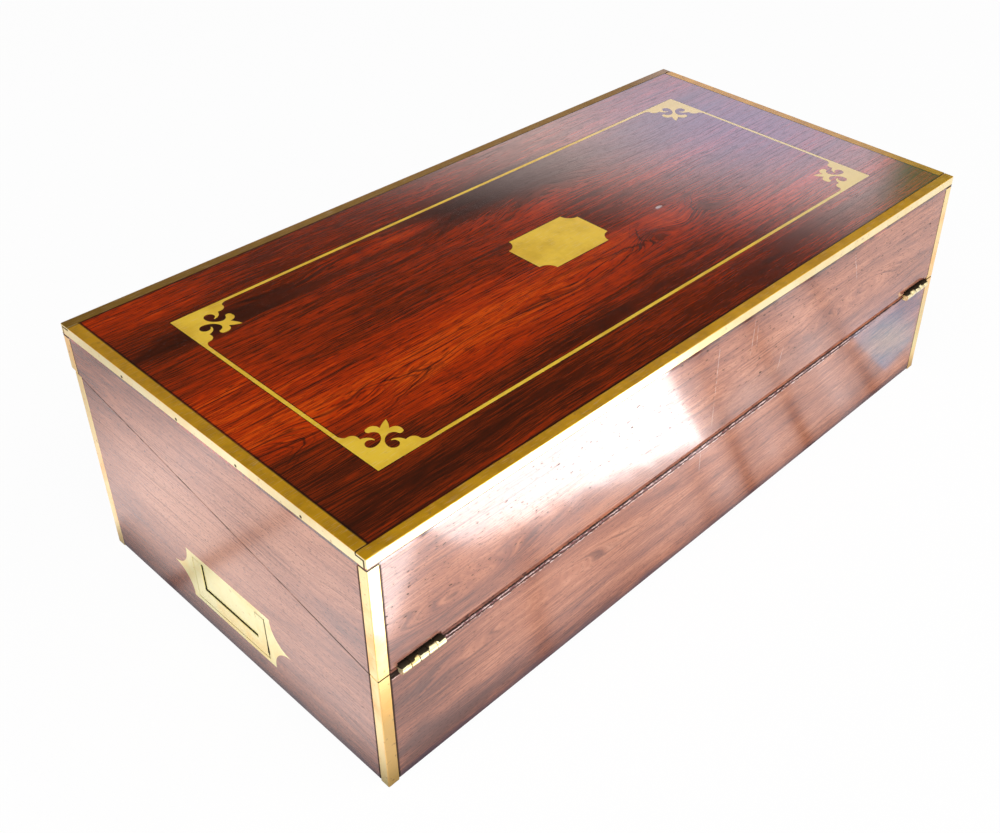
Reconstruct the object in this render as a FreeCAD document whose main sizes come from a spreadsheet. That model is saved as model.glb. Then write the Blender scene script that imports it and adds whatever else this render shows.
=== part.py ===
import FreeCAD, Part
import os
import re
from collections import namedtuple

import Sketcher

# A brass-bound letter writing box: a case that is cut by a slope into a base and a lid, with a
# drawer in the right end.  X runs along the case, Y from the hinge side to the lock side, Z up.
# The origin lies on the resting surface, under the middle of the case.

SIZES = {
    # how far the shape of a cut runs past the faces it opens
    "overrun": 1.0,
    # the case
    "case_length": 508.0,
    "case_width": 256.0,
    "case_height": 159.0,
    "lid_lock_side_depth": 30.0,
    "lid_overhang": 3.2,
    "wall": 10.0,
    "end_wall": 10.0,
    "rim_gap": 0.4,
    "lid_top_thickness": 8.0,
    "lid_bevel": 2.2,
    "baize_thickness": 2.0,
    "baize_inset": 1.5,
    "bottom_thickness": 6.0,
    "ceiling_thickness": 5.0,
    "ceiling_drop": 12.5,
    # the brass binding
    "brass_thickness": 1.5,
    "edge_top_leg": 7.0,
    "edge_side_leg": 6.3,
    "corner_long_leg": 7.0,
    "corner_end_leg": 6.3,
    "strip_joint": 0.3,
    "corner_foot_gap": 0.3,
    # the inlay of the lid
    "inlay_inset": 41.0,
    "inlay_depth": 1.0,
    "string_width": 2.3,
    "spandrel_leg": 34.0,
    "plaque_length": 60.3,
    "plaque_width": 40.8,
    "plaque_notch_radius": 7.6,
    # the main hinges
    "hinge_length": 27.0,
    "hinge_inset": 12.0,
    "hinge_offset": 1.2,
    "hinge_leaf_reach": 8.5,
    "hinge_leaf_thickness": 1.5,
    "barrel_radius": 2.7,
    "hinge_pin_radius": 1.2,
    "pin_play": 0.05,
    "knuckle_gap": 0.3,
    "barrel_clearance": 0.4,
    "hinge_notch_height": 4.2,
    # the writing flaps
    "flap_recess": 1.5,
    "flap_thickness": 6.0,
    "flap_border": 16.0,
    "leather_thickness": 1.2,
    "flap_side_gap": 0.4,
    "flap_hinge_gap": 1.2,
    "ledge_width": 6.0,
    "ledge_height": 6.0,
    "flap_hinge_length": 24.0,
    "flap_hinge_place": 150.0,
    "flap_leaf_thickness": 0.8,
    "flap_leaf_reach": 9.0,
    "flap_leaf_drop": 5.0,
    "flap_knuckle_radius": 1.1,
    # the pen and ink space
    "pen_space_width": 50.0,
    "divider_thickness": 6.0,
    "ink_space_length": 46.0,
    "partition_thickness": 4.0,
    "partition_drop": 7.8,
    "tray_drop": 4.8,
    "tray_height": 14.0,
    "tray_gap": 0.3,
    "tray_end": 5.0,
    "tray_ledge_width": 6.0,
    "tray_ledge_height": 6.0,
    "scoop_radius": 18.0,
    "scoop_depth": 9.0,
    # the inkwells
    "well_width": 38.0,
    "well_drop": 15.8,
    "well_corner": 4.0,
    "well_bore_radius": 11.0,
    "well_floor": 5.0,
    "neck_radius": 13.0,
    "neck_height": 4.0,
    "collar_radius": 15.5,
    "collar_play": 0.05,
    "cap_height": 4.0,
    # the rail and the catch of the lid flap
    "rail_width": 18.0,
    "catch_width": 9.0,
    "catch_arm": 13.0,
    "catch_thickness": 0.9,
    "catch_level": 0.35,
    "catch_pivot_radius": 1.5,
    "catch_pivot_head_radius": 2.6,
    "catch_pivot_head_height": 0.3,
    "catch_pivot_length": 4.5,
    # the lock
    "lock_length": 56.0,
    "lock_plate_length": 78.0,
    "lock_depth": 8.0,
    "lock_height": 30.0,
    "lock_plate_thickness": 2.0,
    "lock_side_thickness": 0.8,
    "lock_room_length": 50.0,
    "lock_room_height": 16.2,
    "hook_place": 12.0,
    "hook_shank": 3.0,
    "hook_nose": 3.0,
    "hook_reach": 11.4,
    "hook_nose_height": 2.8,
    "hook_thickness": 2.0,
    "hook_shift": 0.3,
    "hook_slot_clearance": 0.6,
    "bolt_bar_height": 3.6,
    "bolt_post": 3.5,
    "bolt_finger": 3.2,
    "bolt_finger_height": 2.6,
    "bolt_travel": 3.5,
    "bolt_tip_gap": 0.3,
    "bolt_side_clearance": 0.5,
    "bolt_lift_clearance": 1.0,
    "link_plate_length": 48.0,
    "link_plate_thickness": 1.5,
    "link_plate_margin": 1.0,
    "lock_screw_margin": 3.5,
    "keyhole_drop": 22.5,
    "keyhole_radius": 1.9,
    "keyhole_slot_width": 2.0,
    "keyhole_slot_drop": 5.5,
    "escutcheon_radius": 10.0,
    # the screws
    "screw_head_radius": 1.9,
    "screw_head_height": 1.0,
    "screw_radius": 1.0,
    "screw_length": 6.5,
    "screw_slot_width": 0.5,
    "screw_slot_depth": 0.5,
    "hinge_screw_place": 5.4,
    "hinge_screw_pitch": 8.6,
    # the drawer
    "drawer_clearance": 0.4,
    "drawer_run_clearance": 0.3,
    "drawer_front_thickness": 10.0,
    "drawer_side_thickness": 6.0,
    "drawer_side_height": 44.0,
    "drawer_bottom_thickness": 3.5,
    "drawer_bottom_rise": 1.5,
    "drawer_back_room": 6.0,
    # the flush handles
    "handle_lift": 0.5,
    "plate_length": 76.0,
    "plate_height": 36.6,
    "plate_span": 106.0,
    "plate_cusp_radius": 17.0,
    "plate_thickness": 2.2,
    "pan_length": 66.0,
    "pan_top_gap": 0.6,
    "pan_shallow_depth": 3.1,
    "pan_deep_depth": 6.0,
    "pan_wall": 1.4,
    "bail_side_play": 1.4,
    "bail_shift": 0.5,
    "bail_height": 29.6,
    "bail_drop": 15.2,
    "bail_bar_height": 9.4,
    "bail_leg": 7.6,
    "bail_thickness": 2.4,
    "bail_set_back": 0.1,
    "bail_bottom_gap": 0.4,
    "bail_pivot_place": 1.4,
    "bail_pivot_radius": 0.9,
    "bail_pivot_play": 0.08,
    "bail_pivot_reach": 5.0,
    "plate_pin_radius": 1.2,
    "plate_pin_length": 5.0,
    "plate_pin_place": 44.0,
}

doc = FreeCAD.newDocument("letter_writing_box")
sheet = doc.addObject("Spreadsheet::Sheet", "Sizes")
for row, (size_name, size) in enumerate(SIZES.items(), start=1):
    sheet.set(f"A{row}", size_name)
    sheet.set(f"B{row}", str(size))
    sheet.setAlias(f"B{row}", size_name)
doc.recompute()

Round = namedtuple("Round", "x y radius")
AXES = {axis: FreeCAD.Vector(*numbers) for axis, numbers in zip("XYZ", ((1, 0, 0), (0, 1, 0), (0, 0, 1)))}
SKETCH_PLANES = {"X": "YZ_Plane", "Y": "XZ_Plane", "Z": "XY_Plane"}
cuts = []
nodes = {}


# --- tools of this script ---------------------------------------------------------------------

def bound(expression):
    """Point each size that an expression names at its cell of the sheet."""
    def cell(word):
        return f"Sizes.{word.group()}" if word.group() in SIZES else word.group()
    return re.sub(r"\b[a-z_]+\b", cell, str(expression))


def value(expression):
    """The number that an expression stands for now."""
    return float(sheet.evalExpression(str(expression)))


def bind(thing, **expressions):
    """Bind properties of an object to expressions on the sheet; _ in a name stands for a dot."""
    for name, expression in expressions.items():
        thing.setExpression(name.replace("_", "."), bound(expression))


def node(name, thing):
    """Give a finished sub-part its label, which is the name of its file too."""
    thing.Label = name
    nodes[name] = thing
    return thing


def rectangle(x_low, y_low, x_high, y_high):
    """A closed outline with its sides along the sketch's axes."""
    return [(x_low, y_low), (x_high, y_low), (x_high, y_high), (x_low, y_high)]


def arc_between(first, last, radius, large):
    """An arc from first to last; a positive radius turns left, a negative one turns right."""
    chord = last - first
    left = FreeCAD.Vector(-chord.y, chord.x, 0).normalize()
    rise = max(radius ** 2 - (chord.Length / 2) ** 2, 0) ** 0.5
    side = (1 if radius > 0 else -1) * (-1 if large else 1)
    centre = (first + last) / 2 + left * rise * side
    from_angle, to_angle = (AXES["X"].getAngle(end - centre) * (1 if end.y >= centre.y else -1)
                            for end in ((first, last) if radius > 0 else (last, first)))
    return Part.ArcOfCircle(Part.Circle(centre, AXES["Z"], abs(radius)), from_angle, to_angle)


def draw_outline(sketch, corners):
    """Draw a closed outline and bind each corner, and each arc's radius, to the sheet.

    A corner is (x, y), or (x, y, radius) or (x, y, radius, True) where an arc or a large arc
    goes on from it."""
    points = [FreeCAD.Vector(value(corner[0]), value(corner[1]), 0) for corner in corners]
    ends = []
    for index, corner in enumerate(corners):
        first = points[index]
        last = points[(index + 1) % len(points)]
        if len(corner) == 2:
            edge = sketch.addGeometry(Part.LineSegment(first, last), False)
            ends.append((edge, 1, 2))
            continue
        radius = value(corner[2])
        edge = sketch.addGeometry(arc_between(first, last, radius, len(corner) == 4), False)
        ends.append((edge, 1, 2) if radius > 0 else (edge, 2, 1))
        limit = sketch.addConstraint(Sketcher.Constraint("Radius", edge, abs(radius)))
        sketch.setExpression(f"Constraints[{limit}]", bound(f"abs({corner[2]})"))
    for index, (edge, start, _) in enumerate(ends):
        before, _, finish = ends[index - 1]
        sketch.addConstraint(Sketcher.Constraint("Coincident", before, finish, edge, start))
        for kind, place, now in zip(("DistanceX", "DistanceY"), corners[index], points[index]):
            limit = sketch.addConstraint(Sketcher.Constraint(kind, -1, 1, edge, start, now))
            sketch.setExpression(f"Constraints[{limit}]", bound(place))


def draw_circle(sketch, ring):
    """Draw a circle and bind its centre and radius to the sheet."""
    centre = FreeCAD.Vector(value(ring.x), value(ring.y), 0)
    edge = sketch.addGeometry(Part.Circle(centre, AXES["Z"], value(ring.radius)), False)
    for kind, place, now in (("DistanceX", ring.x, centre.x), ("DistanceY", ring.y, centre.y)):
        limit = sketch.addConstraint(Sketcher.Constraint(kind, -1, 1, edge, 3, now))
        sketch.setExpression(f"Constraints[{limit}]", bound(place))
    limit = sketch.addConstraint(Sketcher.Constraint("Radius", edge, value(ring.radius)))
    sketch.setExpression(f"Constraints[{limit}]", bound(ring.radius))


def draw(body, axis, outlines, start):
    """A sketch square to an axis, at start along it."""
    sketch = body.newObject("Sketcher::SketchObject", f"{body.Name}_sketch")
    plane = next(item for item in body.Origin.OriginFeatures if item.Role == SKETCH_PLANES[axis])
    sketch.AttachmentSupport = [(plane, "")]
    sketch.MapMode = "FlatFace"
    offset = f"-({start})" if axis == "Y" else start
    sketch.setExpression("AttachmentOffset.Base.z", bound(offset))
    for outline in outlines:
        if isinstance(outline, Round):
            draw_circle(sketch, outline)
        else:
            draw_outline(sketch, outline)
    return sketch


def add(body, axis, outlines, start, length):
    """Pad outlines from start along an axis."""
    pad = body.newObject("PartDesign::Pad", f"{body.Name}_pad")
    pad.Profile = draw(body, axis, outlines, start)
    pad.Reversed = axis == "Y"
    bind(pad, Length=length)
    return pad


def cut(body, axis, outlines, start, length):
    """Pocket outlines from start along an axis."""
    pocket = body.newObject("PartDesign::Pocket", f"{body.Name}_pocket")
    pocket.Profile = draw(body, axis, outlines, start)
    pocket.Reversed = axis != "Y"
    bind(pocket, Length=length)
    cuts.append(pocket)
    return pocket


def body_of(name):
    """A new, empty body."""
    return doc.addObject("PartDesign::Body", name)


def prism(name, axis, outlines, start, length):
    """A body that is one padded sketch."""
    body = body_of(name)
    add(body, axis, outlines, start, length)
    return body


def box(name, low, high):
    """A block between two corners."""
    block = doc.addObject("Part::Box", name)
    bind(block, Length=f"({high[0]}) - ({low[0]})", Width=f"({high[1]}) - ({low[1]})",
         Height=f"({high[2]}) - ({low[2]})", Placement_Base_x=low[0], Placement_Base_y=low[1],
         Placement_Base_z=low[2])
    return block


def cylinder(name, axis, start, length, radius, across=("0", "0")):
    """A round bar along an axis; across gives its place on the other two axes, in order."""
    bar = doc.addObject("Part::Cylinder", name)
    turns = {"X": (AXES["Y"], 90), "Y": (AXES["X"], -90), "Z": (AXES["Z"], 0)}
    bar.Placement = FreeCAD.Placement(FreeCAD.Vector(), FreeCAD.Rotation(*turns[axis]))
    places = dict(zip([other for other in "XYZ" if other != axis], across))
    places[axis] = start
    bind(bar, Radius=radius, Height=length, Placement_Base_x=places["X"],
         Placement_Base_y=places["Y"], Placement_Base_z=places["Z"])
    return bar


def mirrored(source, axis):
    """The mirror image of an object, seen in the plane through the origin square to an axis."""
    image = doc.addObject("Part::Mirroring", f"{source.Name}_mirrored")
    image.Source = source
    image.Normal = AXES[axis]
    return image


def group(name, members):
    """Several separate solids as one sub-part."""
    whole = doc.addObject("Part::Compound", name)
    whole.Links = members
    return whole


def pair(name, source, axis="X"):
    """An object and its mirror image."""
    return group(name, [source, mirrored(source, axis)])


def joined(name, members):
    """Several touching solids fused into one."""
    whole = doc.addObject("Part::MultiFuse", name)
    whole.Shapes = members
    whole.Refine = True
    return whole


def let_in(name, blank, pieces):
    """A blank with a seat cut for each piece that is let into it."""
    for piece in pieces:
        seat = doc.addObject("Part::Cut", f"{name}_cut")
        seat.Base = blank
        seat.Tool = piece
        cuts.append(seat)
        blank = seat
    return blank


# --- places that several pieces share ---------------------------------------------------------

HALF_L = "case_length / 2"
HALF_W = "case_width / 2"
INNER_X = "(case_length / 2 - end_wall)"
INNER_Y = "(case_width / 2 - wall)"
BASE_OUT_Y = "(case_width / 2 - lid_overhang)"
BASE_IN_Y = "(case_width / 2 - lid_overhang - wall)"
SLOPE = "((case_height / 2 - lid_lock_side_depth) / case_width)"
STEEPNESS = f"sqrt(1 + {SLOPE} ^ 2)"
TILT = f"atan({SLOPE})"
FLOOR_Z = "(baize_thickness + bottom_thickness)"
CEILING_TOP = "(case_height / 2 - ceiling_drop)"
BAY_TOP = f"({CEILING_TOP} - ceiling_thickness)"
LID_BOTTOM_OF_TOP = "(case_height - lid_top_thickness)"
HINGE_Y = "(-case_width / 2 - hinge_offset)"
HINGE_Z = "(case_height / 2 + rim_gap / 2)"
PEN_START = f"({BASE_IN_Y} - pen_space_width)"
DIVIDER_Y = f"({PEN_START} - divider_thickness)"
FLAP_START = f"(-{INNER_Y} + flap_hinge_gap)"


def rim(y, over="0"):
    """Height of the sloping rim of the base at y, or of a plane over it by some thickness."""
    return f"(case_height / 2 + (({y}) + case_width / 2) * {SLOPE} + ({over}) * {STEEPNESS})"


def lid_rim(y, over="0"):
    """The same for the rim of the lid, which lies the rim gap higher."""
    return rim(y, f"rim_gap + ({over})")


def between_planes(y_low, y_high, low_over, high_over):
    """Outline, square to X, of a layer that follows the slope."""
    return [(y_low, rim(y_low, low_over)), (y_high, rim(y_high, low_over)),
            (y_high, rim(y_high, high_over)), (y_low, rim(y_low, high_over))]


def tilted(name, source, x, y, over, turn):
    """A piece stood on the slope: its own Z leans with the rim, plus a turn about X."""
    placed = group(name, [source])
    placed.Placement = FreeCAD.Placement(FreeCAD.Vector(), FreeCAD.Rotation(AXES["X"], 1))
    bind(placed, Placement_Base_x=x, Placement_Base_y=y, Placement_Base_z=rim(y, over),
         Placement_Rotation_Angle=f"{TILT} + {turn} deg")
    return placed


# --- brass binding ----------------------------------------------------------------------------

def corner_brass(name, side, reach_y, z_low, z_high, waste):
    """Upright angles on the left and right corners of one long side, cut off at the rim."""
    out_y = f"{side} * {reach_y}"
    in_y = f"{side} * ({reach_y} - brass_thickness)"
    leg_y = f"{side} * ({reach_y} - corner_end_leg)"
    x_out = f"-{HALF_L}"
    x_in = f"-{HALF_L} + brass_thickness"
    x_leg = f"-{HALF_L} + corner_long_leg"
    angle = [(x_out, out_y), (x_leg, out_y), (x_leg, in_y), (x_in, in_y), (x_in, leg_y), (x_out, leg_y)]
    body = prism(f"{name}_left", "Z", [angle], z_low, f"({z_high}) - ({z_low})")
    cut(body, "X", [waste], f"-{HALF_L} - overrun", "corner_long_leg + 2 * overrun")
    return node(name, pair(name, body))


def past_rim(height):
    """Outline of everything between the rim gap's faces and a level over or under them."""
    y_low = f"-{HALF_W} - overrun"
    y_high = f"{HALF_W} + overrun"
    if height == "over":
        return [(y_low, rim(y_low)), (y_high, rim(y_high)), (y_high, "case_height + overrun"),
                (y_low, "case_height + overrun")]
    return [(y_low, "-overrun"), (y_high, "-overrun"), (y_high, lid_rim(y_high)), (y_low, lid_rim(y_low))]


def binding():
    """Angles on the upright corners of base and lid, and along the four top edges of the lid.

    The end strips butt against the long ones and run on under their top legs."""
    low = "case_height - edge_side_leg"
    under = "case_height - brass_thickness"
    for side, side_name, base_reach in (("-1", "hinge_side", HALF_W), ("1", "lock_side", BASE_OUT_Y)):
        top = rim(f"{side} * {HALF_W}", "corner_end_leg")
        corner_brass(f"base_corner_brass_{side_name}", side, base_reach, "corner_foot_gap", top,
                     past_rim("over"))
        corner_brass(f"lid_corner_brass_{side_name}", side, HALF_W, f"{rim(f'-{HALF_W}')} - overrun",
                     f"{low} - strip_joint", past_rim("under"))
        y_out = f"{side} * {HALF_W}"
        y_in = f"{side} * ({HALF_W} - brass_thickness)"
        y_leg = f"{side} * ({HALF_W} - edge_top_leg)"
        angle = [(y_out, low), (y_in, low), (y_in, under), (y_leg, under), (y_leg, "case_height"),
                 (y_out, "case_height")]
        node(f"lid_edge_brass_{side_name}",
             prism(f"lid_edge_brass_{side_name}", "X", [angle], f"-{HALF_L}", "case_length"))
    for side, side_name in (("-1", "left"), ("1", "right")):
        x_out = f"{side} * {HALF_L}"
        x_in = f"{side} * ({HALF_L} - brass_thickness)"
        x_leg = f"{side} * ({HALF_L} - edge_top_leg)"
        angle = [(x_out, low), (x_in, low), (x_in, under), (x_leg, under), (x_leg, "case_height"),
                 (x_out, "case_height")]
        top_reach = f"({HALF_W} - edge_top_leg - strip_joint)"
        side_reach = f"({HALF_W} - brass_thickness - strip_joint)"
        strip = prism(f"lid_edge_brass_{side_name}", "Y", [angle], f"-{top_reach}", f"2 * {top_reach}")
        add(strip, "Y", [rectangle(x_out, low, x_in, f"{under} - strip_joint")], f"-{side_reach}",
            f"2 * {side_reach}")
        node(f"lid_edge_brass_{side_name}", strip)


# --- inlay of the lid -------------------------------------------------------------------------

# Half of a spandrel, drawn for a leg of 34 mm from the leg's tip to the point of the flower.
# Each step is an end point, or a point on an arc and the arc's end point.
SPANDREL_DRAWN_LEG = 34.0
SPANDREL_HALF = [
    [(31.8, 2.7), (30.0, 3.9)],
    [(29.7, 6.1)],
    [(28.6, 7.9), (25.9, 8.9)],
    [(24.1, 8.8)],
    [(22.3, 12.2), (19.2, 13.6)],
    [(18.6, 13.0)],
    [(20.2, 12.0), (20.8, 9.9)],
    [(17.8, 7.2), (14.8, 10.4)],
    [(16.7, 15.4), (20.9, 17.9)],
    [(23.4, 17.2), (24.8, 14.7)],
    [(26.8, 14.0), (28.3, 16.2)],
    [(28.0, 19.0), (25.2, 20.8)],
    [(24.1, 20.9)],
    [(26.2, 24.2), (27.4, 27.4)],
]


def spandrel_edges(scale):
    """Closed outline of a corner spandrel, the same on both sides of its diagonal."""
    def point(place, swap):
        across, along = reversed(place) if swap else place
        return FreeCAD.Vector(across * scale, along * scale, 0)

    def run(start, steps, swap):
        edges = []
        for step in steps:
            finish = point(step[-1], swap)
            middle = [point(step[0], swap)] if len(step) == 2 else []
            curve = Part.Arc(start, *middle, finish) if middle else Part.LineSegment(start, finish)
            edges.append(curve.toShape())
            start = finish
        return edges

    width = value("string_width")
    leg = value("spandrel_leg")
    tips = [FreeCAD.Vector(leg, width, 0), FreeCAD.Vector(width, leg, 0)]
    square = [tips[1], FreeCAD.Vector(0, leg, 0), FreeCAD.Vector(), FreeCAD.Vector(leg, 0, 0), tips[0]]
    outline = [Part.LineSegment(first, last).toShape() for first, last in zip(square, square[1:])]
    outline += run(tips[0], SPANDREL_HALF, False)
    outline += run(tips[1], SPANDREL_HALF, True)
    return Part.__sortEdges__(outline)


def inlay():
    """Stringing, corner spandrels and a blank plaque, all let into the top of the lid."""
    low = "case_height - inlay_depth"
    corner_x = f"({HALF_L} - inlay_inset)"
    corner_y = f"({HALF_W} - inlay_inset)"
    spandrel = doc.addObject("Part::Feature", "spandrel")
    scale = value("spandrel_leg") / SPANDREL_DRAWN_LEG
    outline = Part.Face(Part.Wire(spandrel_edges(scale)))
    spandrel.Shape = outline.extrude(FreeCAD.Vector(0, 0, value("inlay_depth")))
    bind(spandrel, Placement_Base_x=f"-{corner_x}", Placement_Base_y=f"-{corner_y}",
         Placement_Base_z=low)
    row_of_two = pair("spandrel_row", spandrel)
    spandrels = node("top_spandrels", pair("top_spandrels", row_of_two, "Y"))

    long_reach = f"({corner_x} - spandrel_leg)"
    short_reach = f"({corner_y} - spandrel_leg)"
    long_string = box("long_string", (f"-{long_reach}", f"-{corner_y}", low),
                      (long_reach, f"-{corner_y} + string_width", "case_height"))
    short_string = box("short_string", (f"-{corner_x}", f"-{short_reach}", low),
                       (f"-{corner_x} + string_width", short_reach, "case_height"))
    strings = group("top_stringing", [long_string, mirrored(long_string, "Y"), short_string,
                                      mirrored(short_string, "X")])
    node("top_stringing", strings)

    plaque = body_of("top_plaque")
    half_x = "plaque_length / 2"
    half_y = "plaque_width / 2"
    add(plaque, "Z", [rectangle(f"-{half_x}", f"-{half_y}", half_x, half_y)], low, "inlay_depth")
    notches = [Round(f"{a} * {half_x}", f"{b} * {half_y}", "plaque_notch_radius")
               for a in (-1, 1) for b in (-1, 1)]
    cut(plaque, "Z", notches, low, "inlay_depth")
    node("top_plaque", plaque)
    return [spandrels, strings, plaque]


# --- screws -----------------------------------------------------------------------------------

def screw_master():
    """A slotted, countersunk screw that points down, its head's top at the origin."""
    head = doc.addObject("Part::Cone", "screw_head")
    bind(head, Radius1="screw_radius", Radius2="screw_head_radius", Height="screw_head_height",
         Placement_Base_z="-screw_head_height")
    shank = cylinder("screw_shank", "Z", "-screw_length", "screw_length - screw_head_height",
                     "screw_radius")
    slot = box("screw_slot", ("-screw_head_radius", "-screw_slot_width / 2", "-screw_slot_depth"),
               ("screw_head_radius", "screw_slot_width / 2", "screw_slot_depth"))
    return let_in("screw", joined("screw_blank", [head, shank]), [slot])


# --- hinges -----------------------------------------------------------------------------------

def butt_leaf(name, hinge, plate, neck, knuckles):
    """A hinge leaf: a plate, and knuckles on the pin's line that necks tie to it.

    hinge gives the pin's y and z, knuckle radius, bore radius, start and length along X."""
    y, z, radius, bore, start, length = hinge
    body = prism(name, "X", [plate], start, length)
    for knuckle_start, knuckle_length in knuckles:
        add(body, "X", [neck], knuckle_start, knuckle_length)
        add(body, "X", [Round(y, z, radius)], knuckle_start, knuckle_length)
    if bore:
        cut(body, "X", [Round(y, z, bore)], f"{start} - overrun", f"{length} + 2 * overrun")
    return body


def knuckles_of(start, length, count, which):
    """Start and length of some of the equal knuckles along a hinge."""
    each = f"(({length}) - {count - 1} * knuckle_gap) / {count}"
    return [(f"{start} + {index} * ({each} + knuckle_gap)", each) for index in which]


def main_hinges(screw):
    """Two butt hinges whose pins lie just outside the hinge side, at the height of the rim."""
    start = f"(-{HALF_L} + hinge_inset)"
    plate_start = f"({HINGE_Y} + barrel_radius + barrel_clearance)"
    plate_end = f"(-{HALF_W} + hinge_leaf_reach)"
    hinge = (HINGE_Y, HINGE_Z, "barrel_radius", "hinge_pin_radius + pin_play", start, "hinge_length")
    leaves = {}
    for part, low, high, which in (("base", "-hinge_leaf_thickness", "0", (0, 2, 4)),
                                   ("lid", "rim_gap", "rim_gap + hinge_leaf_thickness", (1, 3))):
        plate = between_planes(plate_start, plate_end, low, high)
        neck = between_planes(HINGE_Y, f"{plate_start} + overrun", low, high)
        leaf = butt_leaf(f"{part}_leaf", hinge, plate, neck,
                         knuckles_of(start, "hinge_length", 5, which))
        leaves[part] = pair(f"{part}_leaf_pair", leaf)
    pin = cylinder("hinge_pin", "X", start, "hinge_length", "hinge_pin_radius", (HINGE_Y, HINGE_Z))
    node("hinge_pins", pair("hinge_pins", pin))

    screw_y = f"(-{HALF_W} + hinge_screw_place)"
    screw_sets = {"base": [], "lid": []}
    for side in (-1, 1):
        for step in (-1, 0, 1):
            x = f"{side} * ({HALF_L} - hinge_inset - hinge_length / 2 + {step} * hinge_screw_pitch)"
            screw_sets["base"].append(tilted("base_hinge_screw", screw, x, screw_y, "0", "0"))
            screw_sets["lid"].append(tilted("lid_hinge_screw", screw, x, screw_y, "rim_gap", "180"))
    return leaves, screw_sets


# --- case -------------------------------------------------------------------------------------

def hinge_relief(name, outline):
    """Room for the hinge barrels in a hinge-side wall."""
    left = prism(f"{name}_left", "X", [outline], f"-{HALF_L} + hinge_inset - knuckle_gap",
                 "hinge_length + 2 * knuckle_gap")
    return pair(name, left)


def long_wall(name, y_out, y_in, flat_edge, over, bevel=False):
    """A wall along X: one edge is level, and the other is cut to the slope and may be bevelled."""
    outline = [(y_out, flat_edge), (y_in, flat_edge), (y_in, rim(y_in, over))]
    if bevel:
        bevel_y = f"{y_out} + lid_bevel"
        outline += [(bevel_y, rim(bevel_y, over)), (y_out, f"{rim(y_out, over)} + lid_bevel")]
    else:
        outline.append((y_out, rim(y_out, over)))
    return prism(f"{name}_blank", "X", [outline], f"-{HALF_L}", "case_length")


def end_wall_blank(name, side, y_high, low, high):
    """A wall between the long walls, with one or both edges on the slope."""
    x_low = f"-{HALF_L}" if side == "-1" else INNER_X
    y_low = f"-{INNER_Y}"
    outline = [(y_low, low(y_low)), (y_high, low(y_high)), (y_high, high(y_high)), (y_low, high(y_low))]
    return prism(name, "X", [outline], x_low, "end_wall")


def base_case(leaves, screws, lock, flap_hinges):
    """Walls, bottom, cloth underside and drawer ceiling of the base."""
    notch = rectangle(f"-{HALF_W} - overrun", f"{HINGE_Z} - barrel_radius - barrel_clearance",
                      f"{HINGE_Y} + barrel_radius + barrel_clearance", f"{HINGE_Z} + overrun")
    barrel_room = hinge_relief("base_barrel_room", notch)
    wall = long_wall("base_hinge_side_board", f"-{HALF_W}", f"-{INNER_Y}", "baize_thickness", "0")
    node("base_hinge_side_board",
         let_in("base_hinge_side_board", wall, [nodes["base_corner_brass_hinge_side"], leaves["base"],
                                                barrel_room, screws["base"], flap_hinges]))
    wall = long_wall("base_lock_side_board", BASE_OUT_Y, BASE_IN_Y, "baize_thickness", "0")
    node("base_lock_side_board",
         let_in("base_lock_side_board", wall, [nodes["base_corner_brass_lock_side"]] + lock))
    left_end = end_wall_blank("base_left_end_blank", "-1", BASE_IN_Y, lambda y: "baize_thickness", rim)
    node("base_left_end", let_in("base_left_end", left_end, flush_handle("left")))
    node("base_right_end", end_wall_blank("base_right_end", "1", BASE_IN_Y, lambda y: BAY_TOP, rim))
    node("bottom_board", box("bottom_board", (f"-{INNER_X}", f"-{INNER_Y}", "baize_thickness"),
                             (HALF_L, BASE_IN_Y, FLOOR_Z)))
    reach_x = f"({HALF_L} - baize_inset)"
    node("underside_baize", box("underside_baize", (f"-{reach_x}", f"-{HALF_W} + baize_inset", "0"),
                                (reach_x, f"{BASE_OUT_Y} - baize_inset", "baize_thickness")))
    node("drawer_ceiling", box("drawer_ceiling", (f"-{INNER_X}", f"-{INNER_Y}", BAY_TOP),
                               (INNER_X, BASE_IN_Y, CEILING_TOP)))


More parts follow.
